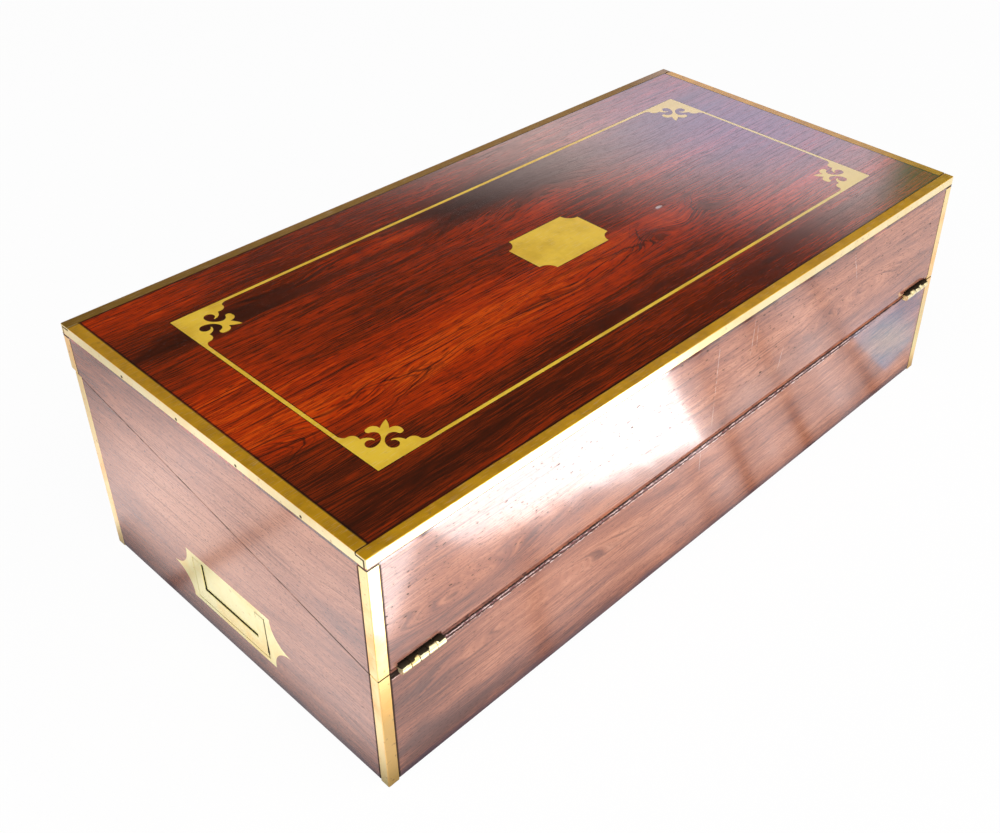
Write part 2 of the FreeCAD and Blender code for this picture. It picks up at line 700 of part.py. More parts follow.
def lid_case(leaves, screws, inlays, link_plate, flap_hinges):
    """Veneered top and four walls of the lid."""
    top = body_of("lid_top_blank")
    whole = rectangle(f"-{HALF_L}", f"-{HALF_W}", HALF_L, HALF_W)
    add(top, "Z", [whole], LID_BOTTOM_OF_TOP, "lid_top_thickness")

    def frame(width):
        reach_x = f"({HALF_L} - {width})"
        reach_y = f"({HALF_W} - {width})"
        return [whole, rectangle(f"-{reach_x}", f"-{reach_y}", reach_x, reach_y)]

    cut(top, "Z", frame("edge_top_leg"), "case_height - brass_thickness", "brass_thickness")
    cut(top, "Z", frame("brass_thickness"), "case_height - edge_side_leg", "edge_side_leg")
    corners = [nodes["lid_corner_brass_hinge_side"], nodes["lid_corner_brass_lock_side"]]
    node("lid_top_panel", let_in("lid_top_panel", top, corners + inlays))

    outer = f"(-{HALF_W} - overrun)"
    notch_y = f"({HINGE_Y} + barrel_radius + barrel_clearance)"
    notch_top = f"(case_height / 2 + hinge_notch_height)"
    notch = rectangle(outer, "case_height / 2 - overrun", notch_y, notch_top)
    barrel_room = hinge_relief("lid_barrel_room", notch)
    wall = long_wall("lid_hinge_side_board", f"-{HALF_W}", f"-{INNER_Y}", LID_BOTTOM_OF_TOP, "rim_gap",
                     bevel=True)
    node("lid_hinge_side_board",
         let_in("lid_hinge_side_board", wall, [corners[0], leaves["lid"], barrel_room, screws["lid"],
                                               flap_hinges]))
    wall = long_wall("lid_lock_side_board", HALF_W, INNER_Y, LID_BOTTOM_OF_TOP, "rim_gap")
    node("lid_lock_side_board",
         let_in("lid_lock_side_board", wall, [corners[1], link_plate, screws["lid"]]))
    for side, name in (("-1", "lid_left_end"), ("1", "lid_right_end")):
        node(name, end_wall_blank(name, side, INNER_Y, lid_rim, lambda y: LID_BOTTOM_OF_TOP))


# --- writing flaps ----------------------------------------------------------------------------

def flap(part, sense, gap, y_end):
    """A writing flap with inset leather, its ledges and its two small hinges.

    sense is -1 in the base, under the slope, and 1 in the lid, over it."""
    def depth(amount):
        return f"({gap} + {sense} * ({amount}))"

    def layer(y_low, y_high, near, far):
        return between_planes(y_low, y_high, depth(near), depth(far))

    reach_x = f"({INNER_X} - flap_side_gap)"
    board = prism(f"{part}_flap_blank", "X",
                  [layer(FLAP_START, y_end, "flap_recess", "flap_recess + flap_thickness")],
                  f"-{reach_x}", f"2 * {reach_x}")
    leather_x = f"({reach_x} - flap_border)"
    leather = prism(f"{part}_flap_leather", "X",
                    [layer(f"{FLAP_START} + flap_border", f"{y_end} - flap_border", "flap_recess",
                           "flap_recess + leather_thickness")],
                    f"-{leather_x}", f"2 * {leather_x}")
    node(f"{part}_flap_leather", leather)

    ledge = prism(f"{part}_flap_ledge", "X",
                  [layer(f"{FLAP_START} + ledge_width", y_end, "flap_recess + flap_thickness",
                         "flap_recess + flap_thickness + ledge_height")],
                  f"-{INNER_X}", "ledge_width")
    node(f"{part}_flap_ledges", pair(f"{part}_flap_ledges", ledge))

    pin_y = f"(-{INNER_Y} + flap_hinge_gap / 2)"
    pin_z = rim(pin_y, depth("flap_recess"))
    start = "(-flap_hinge_place - flap_hinge_length / 2)"
    hinge = (pin_y, pin_z, "flap_knuckle_radius", None, start, "flap_hinge_length")
    wall_plate = rectangle(f"-{INNER_Y}", pin_z, f"-{INNER_Y} + flap_leaf_thickness",
                           f"{pin_z} + {sense} * flap_leaf_drop")
    wall_plate_neck = rectangle(f"-{INNER_Y}", pin_z, pin_y, f"{pin_z} + {sense} * flap_leaf_thickness")
    leaf_end = f"({FLAP_START} + flap_leaf_reach)"
    flap_plate = layer(FLAP_START, leaf_end, "flap_recess", "flap_recess + flap_leaf_thickness")
    flap_plate_neck = layer(pin_y, f"{FLAP_START} + overrun", "flap_recess",
                            "flap_recess + flap_leaf_thickness")
    wall_leaf = butt_leaf(f"{part}_flap_wall_leaf", hinge, wall_plate, wall_plate_neck,
                          knuckles_of(start, "flap_hinge_length", 3, (0, 2)))
    flap_leaf = butt_leaf(f"{part}_flap_leaf", hinge, flap_plate, flap_plate_neck,
                          knuckles_of(start, "flap_hinge_length", 3, (1,)))
    wall_leaf = let_in(f"{part}_flap_wall_leaf", wall_leaf, [flap_leaf])
    both = group(f"{part}_flap_hinge", [wall_leaf, flap_leaf])
    hinges = node(f"{part}_flap_hinges", pair(f"{part}_flap_hinges", both))
    node(f"{part}_flap_board", let_in(f"{part}_flap_board", board, [leather, hinges]))
    return hinges


def lid_rail_and_catch():
    """The fixed rail at the lock side of the lid flap, and the turn catch on it."""
    rail_low = f"({INNER_Y} - rail_width)"
    rail = prism("lid_flap_rail_blank", "X",
                 [between_planes(rail_low, INNER_Y, "rim_gap + flap_recess",
                                 "rim_gap + flap_recess + flap_thickness")],
                 f"-{INNER_X}", f"2 * {INNER_X}")
    pivot_y = f"({INNER_Y} - rail_width / 2)"
    half = "catch_width / 2"
    button = prism("flap_catch_button", "Z", [rectangle(f"-{half}", "-catch_arm", half, "0")],
                   "0", "catch_thickness")
    for end in ("0", "-catch_arm"):
        add(button, "Z", [Round("0", end, half)], "0", "catch_thickness")
    cut(button, "Z", [Round("0", "0", "catch_pivot_radius + pin_play")], "0", "catch_thickness")
    node("flap_catch", tilted("flap_catch", button, "0", pivot_y, "rim_gap + catch_level", "0"))
    head = cylinder("catch_pivot_head", "Z", "-catch_pivot_head_height", "catch_pivot_head_height",
                    "catch_pivot_head_radius")
    shank = cylinder("catch_pivot_shank", "Z", "-catch_pivot_head_height", "catch_pivot_length",
                     "catch_pivot_radius")
    pivot = tilted("flap_catch_screw", joined("catch_pivot", [head, shank]), "0", pivot_y,
                   "rim_gap + catch_level", "0")
    node("flap_catch_screw", pivot)
    node("lid_flap_rail", let_in("lid_flap_rail", rail, [pivot]))


# --- pen and ink space ------------------------------------------------------------------------

PEN_RIM = rim(PEN_START)


def pen_space():
    """Divider, ink compartments and the lift-out pen tray with a scoop for the pens."""
    outline = [(DIVIDER_Y, CEILING_TOP), (PEN_START, CEILING_TOP),
               (PEN_START, rim(PEN_START, "-flap_recess")), (DIVIDER_Y, rim(DIVIDER_Y, "-flap_recess"))]
    node("pen_divider", prism("pen_divider", "X", [outline], f"-{INNER_X}", f"2 * {INNER_X}"))

    partition_x = f"({INNER_X} - ink_space_length)"
    partition = box("inkwell_partition", (f"-{partition_x}", PEN_START, CEILING_TOP),
                    (f"-{partition_x} + partition_thickness", BASE_IN_Y, f"{PEN_RIM} - partition_drop"))
    node("inkwell_partitions", pair("inkwell_partitions", partition))

    tray_x = f"({partition_x} - partition_thickness)"
    tray_top = f"({PEN_RIM} - tray_drop)"
    tray_low = f"({tray_top} - tray_height)"
    ledge = box("tray_ledge", (f"-{tray_x}", PEN_START, f"{tray_low} - tray_ledge_height"),
                (f"-{tray_x} + tray_ledge_width", BASE_IN_Y, tray_low))
    node("tray_ledges", pair("tray_ledges", ledge))

    tray = body_of("pen_tray")
    y_low = f"{PEN_START} + tray_gap"
    y_high = f"{BASE_IN_Y} - tray_gap"
    reach = f"({tray_x} - tray_gap)"
    add(tray, "X", [rectangle(y_low, tray_low, y_high, tray_top)], f"-{reach}", f"2 * {reach}")
    middle = f"({BASE_IN_Y} - pen_space_width / 2)"
    half_width = "sqrt(2 * scoop_radius * scoop_depth - scoop_depth ^ 2)"
    scoop = [(f"{middle} - {half_width}", tray_top), (f"{middle} + {half_width}", tray_top, "-scoop_radius")]
    cut(tray, "X", [scoop], f"-{reach} + tray_end", f"2 * ({reach} - tray_end)")
    node("pen_tray", tray)


def inkwells():
    """Two square glass wells with round bores, brass collars and caps."""
    x = f"(-{INNER_X} + ink_space_length / 2)"
    y = f"({BASE_IN_Y} - pen_space_width / 2)"
    half = "well_width / 2"
    shoulder = f"({PEN_RIM} - well_drop)"
    well_height = f"({shoulder} - {CEILING_TOP})"
    glass = body_of("inkwell_glass")
    block = add(glass, "Z", [rectangle(f"{x} - {half}", f"{y} - {half}", f"{x} + {half}", f"{y} + {half}")],
                CEILING_TOP, well_height)
    doc.recompute()
    upright = [f"Edge{number}" for number, edge in enumerate(block.Shape.Edges, start=1)
               if abs(edge.tangentAt(edge.FirstParameter).z) > 0.9]
    rounding = glass.newObject("PartDesign::Fillet", "inkwell_glass_corners")
    rounding.Base = (block, upright)
    bind(rounding, Radius="min(well_corner; well_width / 3)")
    add(glass, "Z", [Round(x, y, "neck_radius")], shoulder, "neck_height")
    cut(glass, "Z", [Round(x, y, "well_bore_radius")], f"{CEILING_TOP} + well_floor",
        f"{well_height} + neck_height")
    node("inkwell_glasses", pair("inkwell_glasses", glass))

    collar = prism("inkwell_collar", "Z", [Round(x, y, "collar_radius"),
                                           Round(x, y, "neck_radius + collar_play")],
                   shoulder, "neck_height")
    node("inkwell_collars", pair("inkwell_collars", collar))

    cap = prism("inkwell_cap", "Z", [Round(x, y, "collar_radius")], f"{shoulder} + neck_height",
                "cap_height")
    node("inkwell_caps", pair("inkwell_caps", cap))


# --- lock -------------------------------------------------------------------------------------

LOCK_Y = f"({BASE_IN_Y} + lock_depth / 2)"
LOCK_TOP = rim(LOCK_Y)
ROOM_TOP = f"({LOCK_TOP} - lock_plate_thickness)"
KEYHOLE_Z = f"({LOCK_TOP} - keyhole_drop)"


def keyhole():
    """Outline of a keyhole: a round top over a narrow slot."""
    half = "keyhole_slot_width / 2"
    shoulder = f"({KEYHOLE_Z} - sqrt(keyhole_radius ^ 2 - (keyhole_slot_width / 2) ^ 2))"
    foot = f"({KEYHOLE_Z} - keyhole_slot_drop)"
    return [(f"-{half}", foot), (half, foot), (half, shoulder, "keyhole_radius", True),
            (f"-{half}", shoulder)]


def lock(screw):
    """Box lock in the rim of the lock side, its bolt, its key plate and the lid's hook plate."""
    inner = f"({LOCK_Y} - lock_depth / 2)"
    outer = f"({LOCK_Y} + lock_depth / 2)"
    low = f"({LOCK_TOP} - lock_height)"
    room_low_y = f"({inner} + lock_side_thickness)"
    room_high_y = f"({outer} - lock_side_thickness)"

    def solid_lock(name):
        """The lock with no room inside: a deep case under a longer plate that is flush with the rim."""
        deep = prism(name, "X", [[(inner, low), (outer, low), (outer, rim(outer)), (inner, rim(inner))]],
                     "-lock_length / 2", "lock_length")
        add(deep, "X", [between_planes(inner, outer, "-lock_plate_thickness", "0")],
            "-lock_plate_length / 2", "lock_plate_length")
        return deep

    case = solid_lock("lock_case_blank")
    cut(case, "X", [rectangle(room_low_y, f"{ROOM_TOP} - lock_room_height", room_high_y, ROOM_TOP)],
        "-lock_room_length / 2", "lock_room_length")
    hook_end = "(hook_place + hook_shank)"
    nose_start = "(hook_place - hook_nose)"
    slots = [rectangle(f"{nose_start} - hook_slot_clearance", room_low_y,
                       f"{hook_end} + hook_slot_clearance", room_high_y),
             rectangle(f"-{hook_end} - hook_slot_clearance", room_low_y,
                       f"-{nose_start} + hook_slot_clearance", room_high_y)]
    cut(case, "Z", slots, f"{ROOM_TOP} - overrun", "overrun + lock_plate_thickness + lock_depth")
    cut(case, "Y", [keyhole()], f"{LOCK_Y}", "lock_depth")

    hook_low_y = f"({LOCK_Y} + hook_shift)"
    nose_low = f"({LOCK_TOP} - hook_reach)"
    nose_high = f"({nose_low} + hook_nose_height)"
    bar_low = f"({ROOM_TOP} - lock_room_height + bolt_side_clearance)"
    bar_high = f"({bar_low} + bolt_bar_height)"
    finger_low = f"({nose_high} + bolt_lift_clearance)"
    finger_high = f"({finger_low} + bolt_finger_height)"

    def post(shank_start):
        """Corners of one upright post and its finger, from right to left, behind a hook."""
        tip = f"({shank_start} - bolt_travel - bolt_tip_gap)"
        root = f"({tip} - bolt_finger)"
        back = f"({root} - bolt_post)"
        return [(root, bar_high), (root, finger_low), (tip, finger_low), (tip, finger_high),
                (back, finger_high), (back, bar_high)]

    right = post("hook_place")
    left = post("(-hook_place)")
    bar_end = f"({right[0][0]} + bolt_lift_clearance)"
    bar_start = f"({left[-1][0]} - bolt_lift_clearance)"
    bolt = prism("lock_bolt", "Y", [[(bar_start, bar_low), (bar_end, bar_low), (bar_end, bar_high)] + right
                                    + left + [(bar_start, bar_high)]], hook_low_y, "hook_thickness")
    node("lock_bolt", bolt)

    plate_low_y = f"({INNER_Y} + link_plate_margin)"
    plate_high_y = f"({HALF_W} - brass_thickness - link_plate_margin)"
    plate = prism("lock_link_plate_blank", "X",
                  [between_planes(plate_low_y, plate_high_y, "rim_gap", "rim_gap + link_plate_thickness")],
                  "-link_plate_length / 2", "link_plate_length")
    hook_top = f"{LOCK_TOP} + rim_gap + link_plate_thickness / 2"

    def hook(nose_x, shank_x, end_x):
        return [(nose_x, nose_low), (end_x, nose_low), (end_x, hook_top), (shank_x, hook_top),
                (shank_x, nose_high), (nose_x, nose_high)]

    hooks = [hook(nose_start, "hook_place", hook_end),
             hook(f"(-hook_place - hook_nose)", "(-hook_place)", "(hook_shank - hook_place)")]
    add(plate, "Y", hooks, hook_low_y, "hook_thickness")

    lock_screws = [tilted("lock_screw", screw, f"{side} * (lock_plate_length / 2 - lock_screw_margin)",
                          LOCK_Y, "0", "0") for side in (-1, 1)]
    link_screws = [tilted("link_screw", screw, f"{side} * (link_plate_length / 2 - lock_screw_margin)",
                          f"({plate_low_y} + {plate_high_y}) / 2", "rim_gap", "180") for side in (-1, 1)]
    escutcheon = prism("escutcheon", "Y", [Round("0", KEYHOLE_Z, "escutcheon_radius"), keyhole()],
                       f"{BASE_OUT_Y} - brass_thickness", "brass_thickness")
    node("escutcheon", escutcheon)
    key_way = prism("key_way", "Y", [keyhole()], outer, "wall - lock_depth")
    node("lock_case", let_in("lock_case", case, lock_screws))
    node("lock_link_plate", let_in("lock_link_plate", plate, link_screws))
    return [solid_lock("lock_seat"), escutcheon, key_way], lock_screws, link_screws


# --- flush handles ----------------------------------------------------------------------------

def stand_at_end(thing, side):
    """Put a handle's piece on an end: its own X points out of the box."""
    turn = 180 if side == "left" else 0
    thing.Placement = FreeCAD.Placement(FreeCAD.Vector(), FreeCAD.Rotation(AXES["Z"], turn))
    sign = "-" if side == "left" else ""
    bind(thing, Placement_Base_x=f"{sign}{HALF_L}",
         Placement_Base_z=f"({FLOOR_Z} + {BAY_TOP}) / 2 + handle_lift")
    return thing


def flush_handle(side):
    """A cusped plate with a pan behind it, a square bail that lies in it, pivots and pins."""
    half = "plate_length / 2"
    high = "plate_height / 2"
    tip = "plate_span / 2"
    bend = "-plate_cusp_radius"
    outline = [(f"-{half}", f"-{high}"), (half, f"-{high}", bend), (tip, "0", bend), (half, high),
               (f"-{half}", high, bend), (f"-{tip}", "0", bend)]
    pan_y = "pan_length / 2"
    pan_low = "(-bail_drop - bail_bottom_gap)"
    pan_high = "(bail_height - bail_drop + pan_top_gap)"
    seat = prism(f"{side}_handle_seat", "X", [outline], "-plate_thickness", "plate_thickness")
    add(seat, "X", [rectangle(f"-{pan_y} - pan_wall", f"{pan_low} - pan_wall", f"{pan_y} + pan_wall",
                              f"{pan_high} + pan_wall")],
        "-pan_deep_depth - pan_wall", "pan_deep_depth + pan_wall")
    stand_at_end(seat, side)
    bar_top = "(bail_bar_height - bail_drop)"
    profile = [("1", pan_low), ("1", pan_high), ("-pan_deep_depth", pan_high),
               ("-pan_shallow_depth", bar_top), ("-pan_shallow_depth", pan_low)]
    cavity = prism(f"{side}_handle_cavity", "Y", [profile], f"-{pan_y}", "pan_length")
    stand_at_end(cavity, side)

    outer = "((pan_length - bail_side_play) / 2)"
    inner = f"({outer} - bail_leg)"
    bail_low = "(-bail_drop)"
    bail_high = "(bail_height - bail_drop)"
    pivot_z = f"({bail_high} - bail_pivot_place)"
    pivot_x = "(-bail_set_back - bail_thickness / 2)"
    shape = [(f"-{outer} - bail_shift", bail_low), (f"{outer} - bail_shift", bail_low),
             (f"{outer} - bail_shift", bail_high), (f"{inner} - bail_shift", bail_high),
             (f"{inner} - bail_shift", bar_top), (f"-{inner} - bail_shift", bar_top),
             (f"-{inner} - bail_shift", bail_high), (f"-{outer} - bail_shift", bail_high)]
    bail = prism(f"{side}_handle_bail", "X", [shape], "-bail_set_back - bail_thickness", "bail_thickness")
    cut(bail, "Y", [Round(pivot_x, pivot_z, "bail_pivot_radius + bail_pivot_play")],
        f"-{pan_y}", "pan_length")
    node(f"{side}_handle_bail", stand_at_end(bail, side))

    pins = []
    for end in (-1, 1):
        low_end = f"({pan_y} - bail_pivot_reach)" if end == 1 else f"(-{pan_y} - pan_wall)"
        pins.append(cylinder(f"{side}_bail_pivot", "Y", low_end, "bail_pivot_reach + pan_wall",
                             "bail_pivot_radius", (pivot_x, pivot_z)))
        pins.append(cylinder(f"{side}_plate_pin", "X", "-plate_thickness - plate_pin_length",
                             "plate_pin_length", "plate_pin_radius", (f"{end} * plate_pin_place", "0")))
    fixings = group(f"{side}_handle_fixings", pins)
    node(f"{side}_handle_fixings", stand_at_end(fixings, side))
    node(f"{side}_handle_plate", let_in(f"{side}_handle_plate", seat, [cavity, fixings]))
    return [seat, fixings]


# --- drawer -----------------------------------------------------------------------------------

def drawer():
    """A drawer nearly as long as the case, which runs on the bottom between the long walls."""
    low = f"({FLOOR_Z} + drawer_run_clearance)"
    y_low = f"(-{INNER_Y} + drawer_clearance)"
    y_high = f"({BASE_IN_Y} - drawer_clearance)"
    front_x = f"({HALF_L} - drawer_front_thickness)"
    back_x = f"(-{INNER_X} + drawer_back_room)"
    side_top = f"({low} + drawer_side_height)"
    inside_low = f"({y_low} + drawer_side_thickness)"
    inside_high = f"({y_high} - drawer_side_thickness)"
    front = box("drawer_front_blank", (front_x, y_low, low),
                (HALF_L, y_high, f"{BAY_TOP} - drawer_run_clearance"))
    node("drawer_front", let_in("drawer_front", front, flush_handle("right")))
    sides = [box("drawer_side", (back_x, near, low), (front_x, far, side_top))
             for near, far in ((y_low, inside_low), (inside_high, y_high))]
    node("drawer_sides", group("drawer_sides", sides))
    back_end = f"({back_x} + drawer_side_thickness)"
    node("drawer_back", box("drawer_back", (back_x, inside_low, low), (back_end, inside_high, side_top)))
    bottom_low = f"({low} + drawer_bottom_rise)"
    node("drawer_bottom", box("drawer_bottom", (back_end, inside_low, bottom_low),
                              (front_x, inside_high, f"{bottom_low} + drawer_bottom_thickness")))


# --- the whole box ----------------------------------------------------------------------------

def build():
    """Make every sub-part, inserts before the boards that they are let into."""
    binding()
    inlays = inlay()
    screw = screw_master()
    leaves, screw_sets = main_hinges(screw)
    lock_inserts, lock_screws, link_screws = lock(screw)
    base_screws = node("base_screws", group("base_screws", screw_sets["base"] + lock_screws))
    lid_screws = node("lid_screws", group("lid_screws", screw_sets["lid"] + link_screws))
    screws = {"base": base_screws, "lid": lid_screws}
    for part, leaf_pair in leaves.items():
        node(f"hinge_{part}_leaves", let_in(f"hinge_{part}_leaves", leaf_pair, [screws[part]]))
    base_flap_hinges = flap("base", -1, "0", f"({DIVIDER_Y} - flap_side_gap)")
    lid_flap_hinges = flap("lid", 1, "rim_gap", f"({INNER_Y} - rail_width - flap_side_gap)")
    lid_rail_and_catch()
    base_case(leaves, screws, lock_inserts + [base_screws], base_flap_hinges)
    lid_case(leaves, screws, inlays, nodes["lock_link_plate"], lid_flap_hinges)
    pen_space()
    inkwells()
    drawer()


def check_and_write():
    """Stop on any failed object, empty cut or bad shape, then write one file for each sub-part."""
    failed = [thing.Label for thing in doc.Objects if {"Invalid", "Error"} & set(thing.State)]
    if failed:
        raise RuntimeError(f"failed: {failed}")
    for removal in cuts:
        before = removal.BaseFeature if removal.TypeId == "PartDesign::Pocket" else removal.Base
        if removal.Shape.Volume > before.Shape.Volume - 1e-6:
            raise RuntimeError(f"{removal.Label} removes nothing")
    os.makedirs("parts", exist_ok=True)
    for name, thing in nodes.items():
        if thing.Shape.isNull() or not thing.Shape.isValid() or thing.Shape.Volume <= 0:
            raise RuntimeError(f"{name} has no valid shape")
        thing.Shape.exportStep(f"parts/{name}.step")
    print(f"{len(nodes)} sub-parts written")


build()
doc.recompute()
check_and_write()
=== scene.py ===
# %% [markdown]
# # A brass-bound letter writing box
#
# This lesson dresses a finished model of a writing box: a rosewood case that is cut by a slope
# into a base and a lid, bound with brass, with a drawer in its right end.  The solids come from
# CAD.  Here they get their polish, grain, tarnish and wear, and the few pieces that are easier to
# work out as surfaces.  X runs along the case, Y from the hinge side to the lock side, Z up, and
# everything is in metres.

import bpy
import numpy as np
from mathutils import Matrix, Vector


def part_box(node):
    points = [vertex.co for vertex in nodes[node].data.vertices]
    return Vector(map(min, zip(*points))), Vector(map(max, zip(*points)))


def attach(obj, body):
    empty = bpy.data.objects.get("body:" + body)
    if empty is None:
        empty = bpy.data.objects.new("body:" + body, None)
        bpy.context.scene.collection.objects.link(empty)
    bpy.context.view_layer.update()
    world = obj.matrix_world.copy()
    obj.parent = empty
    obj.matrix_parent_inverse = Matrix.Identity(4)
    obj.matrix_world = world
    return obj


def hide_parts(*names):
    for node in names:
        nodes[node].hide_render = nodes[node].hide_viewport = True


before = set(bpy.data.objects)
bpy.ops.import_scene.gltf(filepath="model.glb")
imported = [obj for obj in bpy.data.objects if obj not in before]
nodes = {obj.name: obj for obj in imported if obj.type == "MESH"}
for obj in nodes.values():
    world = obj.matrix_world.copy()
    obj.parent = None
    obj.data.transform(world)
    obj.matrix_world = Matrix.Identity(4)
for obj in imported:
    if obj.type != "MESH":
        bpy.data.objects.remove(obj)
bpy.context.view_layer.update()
scene = bpy.context.scene

# %% [markdown]
# ## The camera
#
# A camera is a place, a direction and a lens.  The box is seen from above its hinge side and its
# left end through a fairly short lens, so its long edges run together visibly.  The picture is an
# offset part of a wider view, so the lens is shifted a little.  One could turn the camera by eye,
# but three columns that give its own right, up and back directions are exact.

# %% Camera
SENSOR = 36.0
FOCAL_PIXELS = 1236.5
PICTURE_WIDTH = 1000.0
PICTURE_HEIGHT = 833.0
LENS_AXIS = (592.1, 355.9)
CAMERA_PLACE = (-0.47685, -0.44570, 0.53830)
CAMERA_TURN = (-48.934, 35.427, 2.204)


def turned_view(azimuth, elevation, roll):
    """Columns right, up and back of a view along an azimuth, downwards, with a roll."""
    azimuth, elevation, roll = np.radians((azimuth, elevation, roll))
    forward = np.array((-np.sin(azimuth) * np.cos(elevation),
                        np.cos(azimuth) * np.cos(elevation), -np.sin(elevation)))
    right = np.cross(forward, (0.0, 0.0, 1.0))
    right /= np.linalg.norm(right)
    up = np.cross(right, forward)
    rolled_right = np.cos(roll) * right + np.sin(roll) * up
    return np.column_stack((rolled_right, np.cross(-forward, rolled_right), -forward))


def place_and_turn(thing, place, turn):
    """Put a camera or a lamp at a place, turned to a view."""
    thing.location = place
    thing.rotation_mode = "QUATERNION"
    thing.rotation_quaternion = Matrix(turned_view(*turn).tolist()).to_quaternion()


view = bpy.data.cameras.new("camera")
view.sensor_width = SENSOR
view.lens = SENSOR * FOCAL_PIXELS / PICTURE_WIDTH
view.shift_x = (PICTURE_WIDTH / 2 - LENS_AXIS[0]) / PICTURE_WIDTH
view.shift_y = (LENS_AXIS[1] - PICTURE_HEIGHT / 2) / PICTURE_WIDTH
view.clip_start = 0.01
camera = bpy.data.objects.new("camera", view)
scene.collection.objects.link(camera)
place_and_turn(camera, CAMERA_PLACE, CAMERA_TURN)
scene.camera = camera
scene.view_settings.view_transform = "Standard"
print(f"lens {view.lens:.1f} mm, shift {view.shift_x:.3f}, {view.shift_y:.3f}")

# %% [markdown]
# ## Sums in a material
#
# Every finish below is a pattern worked out from the place of a point on the box.  In Blender such
# a pattern is a tree of nodes.  Built by hand, even a + b is four lines, so this small class wraps
# an output of a node and turns the signs of Python into Math nodes.  Any other node comes from
# `add`, which takes its type, its settings and the values or shades that go into its sockets.

# %% Shade
def opaque(colour):
    """A colour as a socket wants it: three numbers get an alpha of 1, a shade stays."""
    return (*colour, 1.0) if isinstance(colour, tuple) else colour


class Shade:
    """A value on its way through a material."""

    def __init__(self, tree, socket=None):
        self.tree = tree
        self.socket = socket

    def add(self, kind, settings=None, inputs=None, output=0):
        """Add a node and return one output: settings are made before the sockets are filled."""
        node = self.tree.nodes.new(f"ShaderNode{kind}")
        settings = dict(settings or {})
        stops = settings.pop("stops", None)
        for name, setting in settings.items():
            setattr(node, name, setting)
        if stops:
            elements = node.color_ramp.elements
            while len(elements) < len(stops):
                elements.new(0.5)
            for element, (position, colour) in zip(elements, stops):
                element.position = position
                element.color = opaque(colour)
        for name, given in (inputs or {}).items():
            if isinstance(given, Shade):
                self.tree.links.new(given.socket, node.inputs[name])
            else:
                node.inputs[name].default_value = given
        return Shade(self.tree, node.outputs[output] if node.outputs else None)

    def math(self, operation, *others):
        return self.add("Math", {"operation": operation}, dict(enumerate((self, *others))))

    def __add__(self, other):
        return self.math("ADD", other)

    def __radd__(self, other):
        return self.math("ADD", other)

    def __sub__(self, other):
        return self.math("SUBTRACT", other)

    def __rsub__(self, other):
        return self.add("Math", {"operation": "SUBTRACT"}, {0: other, 1: self})

    def __mul__(self, other):
        return self.math("MULTIPLY", other)

    def __rmul__(self, other):
        return self.math("MULTIPLY", other)

    def __truediv__(self, other):
        return self.math("DIVIDE", other)

    def __abs__(self):
        return self.math("ABSOLUTE")

    def most(self, other):
        """The larger of two values."""
        return self.math("MAXIMUM", other)

    def least(self, other):
        """The smaller of two values."""
        return self.math("MINIMUM", other)

    def rise(self, low, high):
        """0 under low and 1 over high, with a soft step between; low over high makes it fall."""
        return self.add("MapRange", {"interpolation_type": "SMOOTHSTEP", "clamp": True},
                        {"Value": self, "From Min": low, "From Max": high})

    def blend(self, first, second):
        """This much of the second colour over the first."""
        return self.add("Mix", {"data_type": "RGBA"},
                        {0: self, 6: opaque(first), 7: opaque(second)}, 2)


print("signs that make Math nodes: + - * / abs")

# %% [markdown]
# ## Starting and ending a finish
#
# The pattern of a finish is laid out in millimetres in the box's own axes, so a size in it is a
# real size.  `start_finish` gives those three coordinates, and `end_finish` puts the colour,
# roughness and relief on the shader.  What is the same all over, such as how rough the polish is,
# is set straight on the shader's own socket.  Packed dirt has no gloss at all, and painting it
# dark on a polished surface would still leave it shining, so dirt is a second, matt shader.  The
# same matt dark is also painted shade in the hinges and the handles.

# %% Finish helpers
MM_IN_METRE = 1000.0
DIRT_AND_SHADE_COLOUR = (0.016, 0.010, 0.006)


def start_finish(name):
    """A new material; returns it and the point's place along X, Y and Z in millimetres."""
    finish = bpy.data.materials.new(name)
    finish.use_nodes = True
    finish.node_tree.nodes.clear()
    blank = Shade(finish.node_tree)
    place = blank.add("TexCoord", output="Object")
    in_mm = blank.add("VectorMath", {"operation": "SCALE"}, {0: place, "Scale": MM_IN_METRE})
    axes = [in_mm.add("SeparateXYZ", inputs={0: in_mm}, output=index) for index in range(3)]
    return finish, axes


def end_finish(finish, colour, roughness, relief=None, relief_mm=0.05, varying=None, matt_dark=None,
               **steady):
    """Join a colour, a roughness and a relief to a Principled shader and the output; varying is
    what else changes over the surface, steady what doesn't, and matt_dark where a matt dark
    shader lies over it: dirt, and painted shade on hinges and handles."""
    tree = finish.node_tree
    given = {"Base Color": opaque(colour), "Roughness": roughness, **(varying or {})}
    given.update({name.replace("_", " "): amount for name, amount in steady.items()})
    if relief is not None:
        given["Normal"] = relief.add("Bump", {}, {"Strength": 1.0, "Height": relief,
                                                  "Distance": relief_mm / MM_IN_METRE})
    shader = Shade(tree).add("BsdfPrincipled", {}, given)
    if matt_dark is not None:
        # matt dark: dirt, and painted shade in hinges and handles
        matt = Shade(tree).add("BsdfPrincipled", {}, {"Base Color": opaque(DIRT_AND_SHADE_COLOUR),
                                                      "Roughness": 0.9,
                                                      "Specular IOR Level": 0.1})
        shader = matt.add("MixShader", {}, {0: matt_dark, 1: shader, 2: matt})
    shader.add("OutputMaterial", {}, {"Surface": shader})
    return finish


print("finishes are laid out in millimetres")

# %% [markdown]
# ## Noise, spots and lines
#
# Nearly every pattern here is made of three things.  Noise is cloudy chance; dividing an axis by a
# length stretches its clouds along it.  A spot is an oval that fades outwards, for what is found
# in one place only.  A line is a thin band where some distance is near 0.

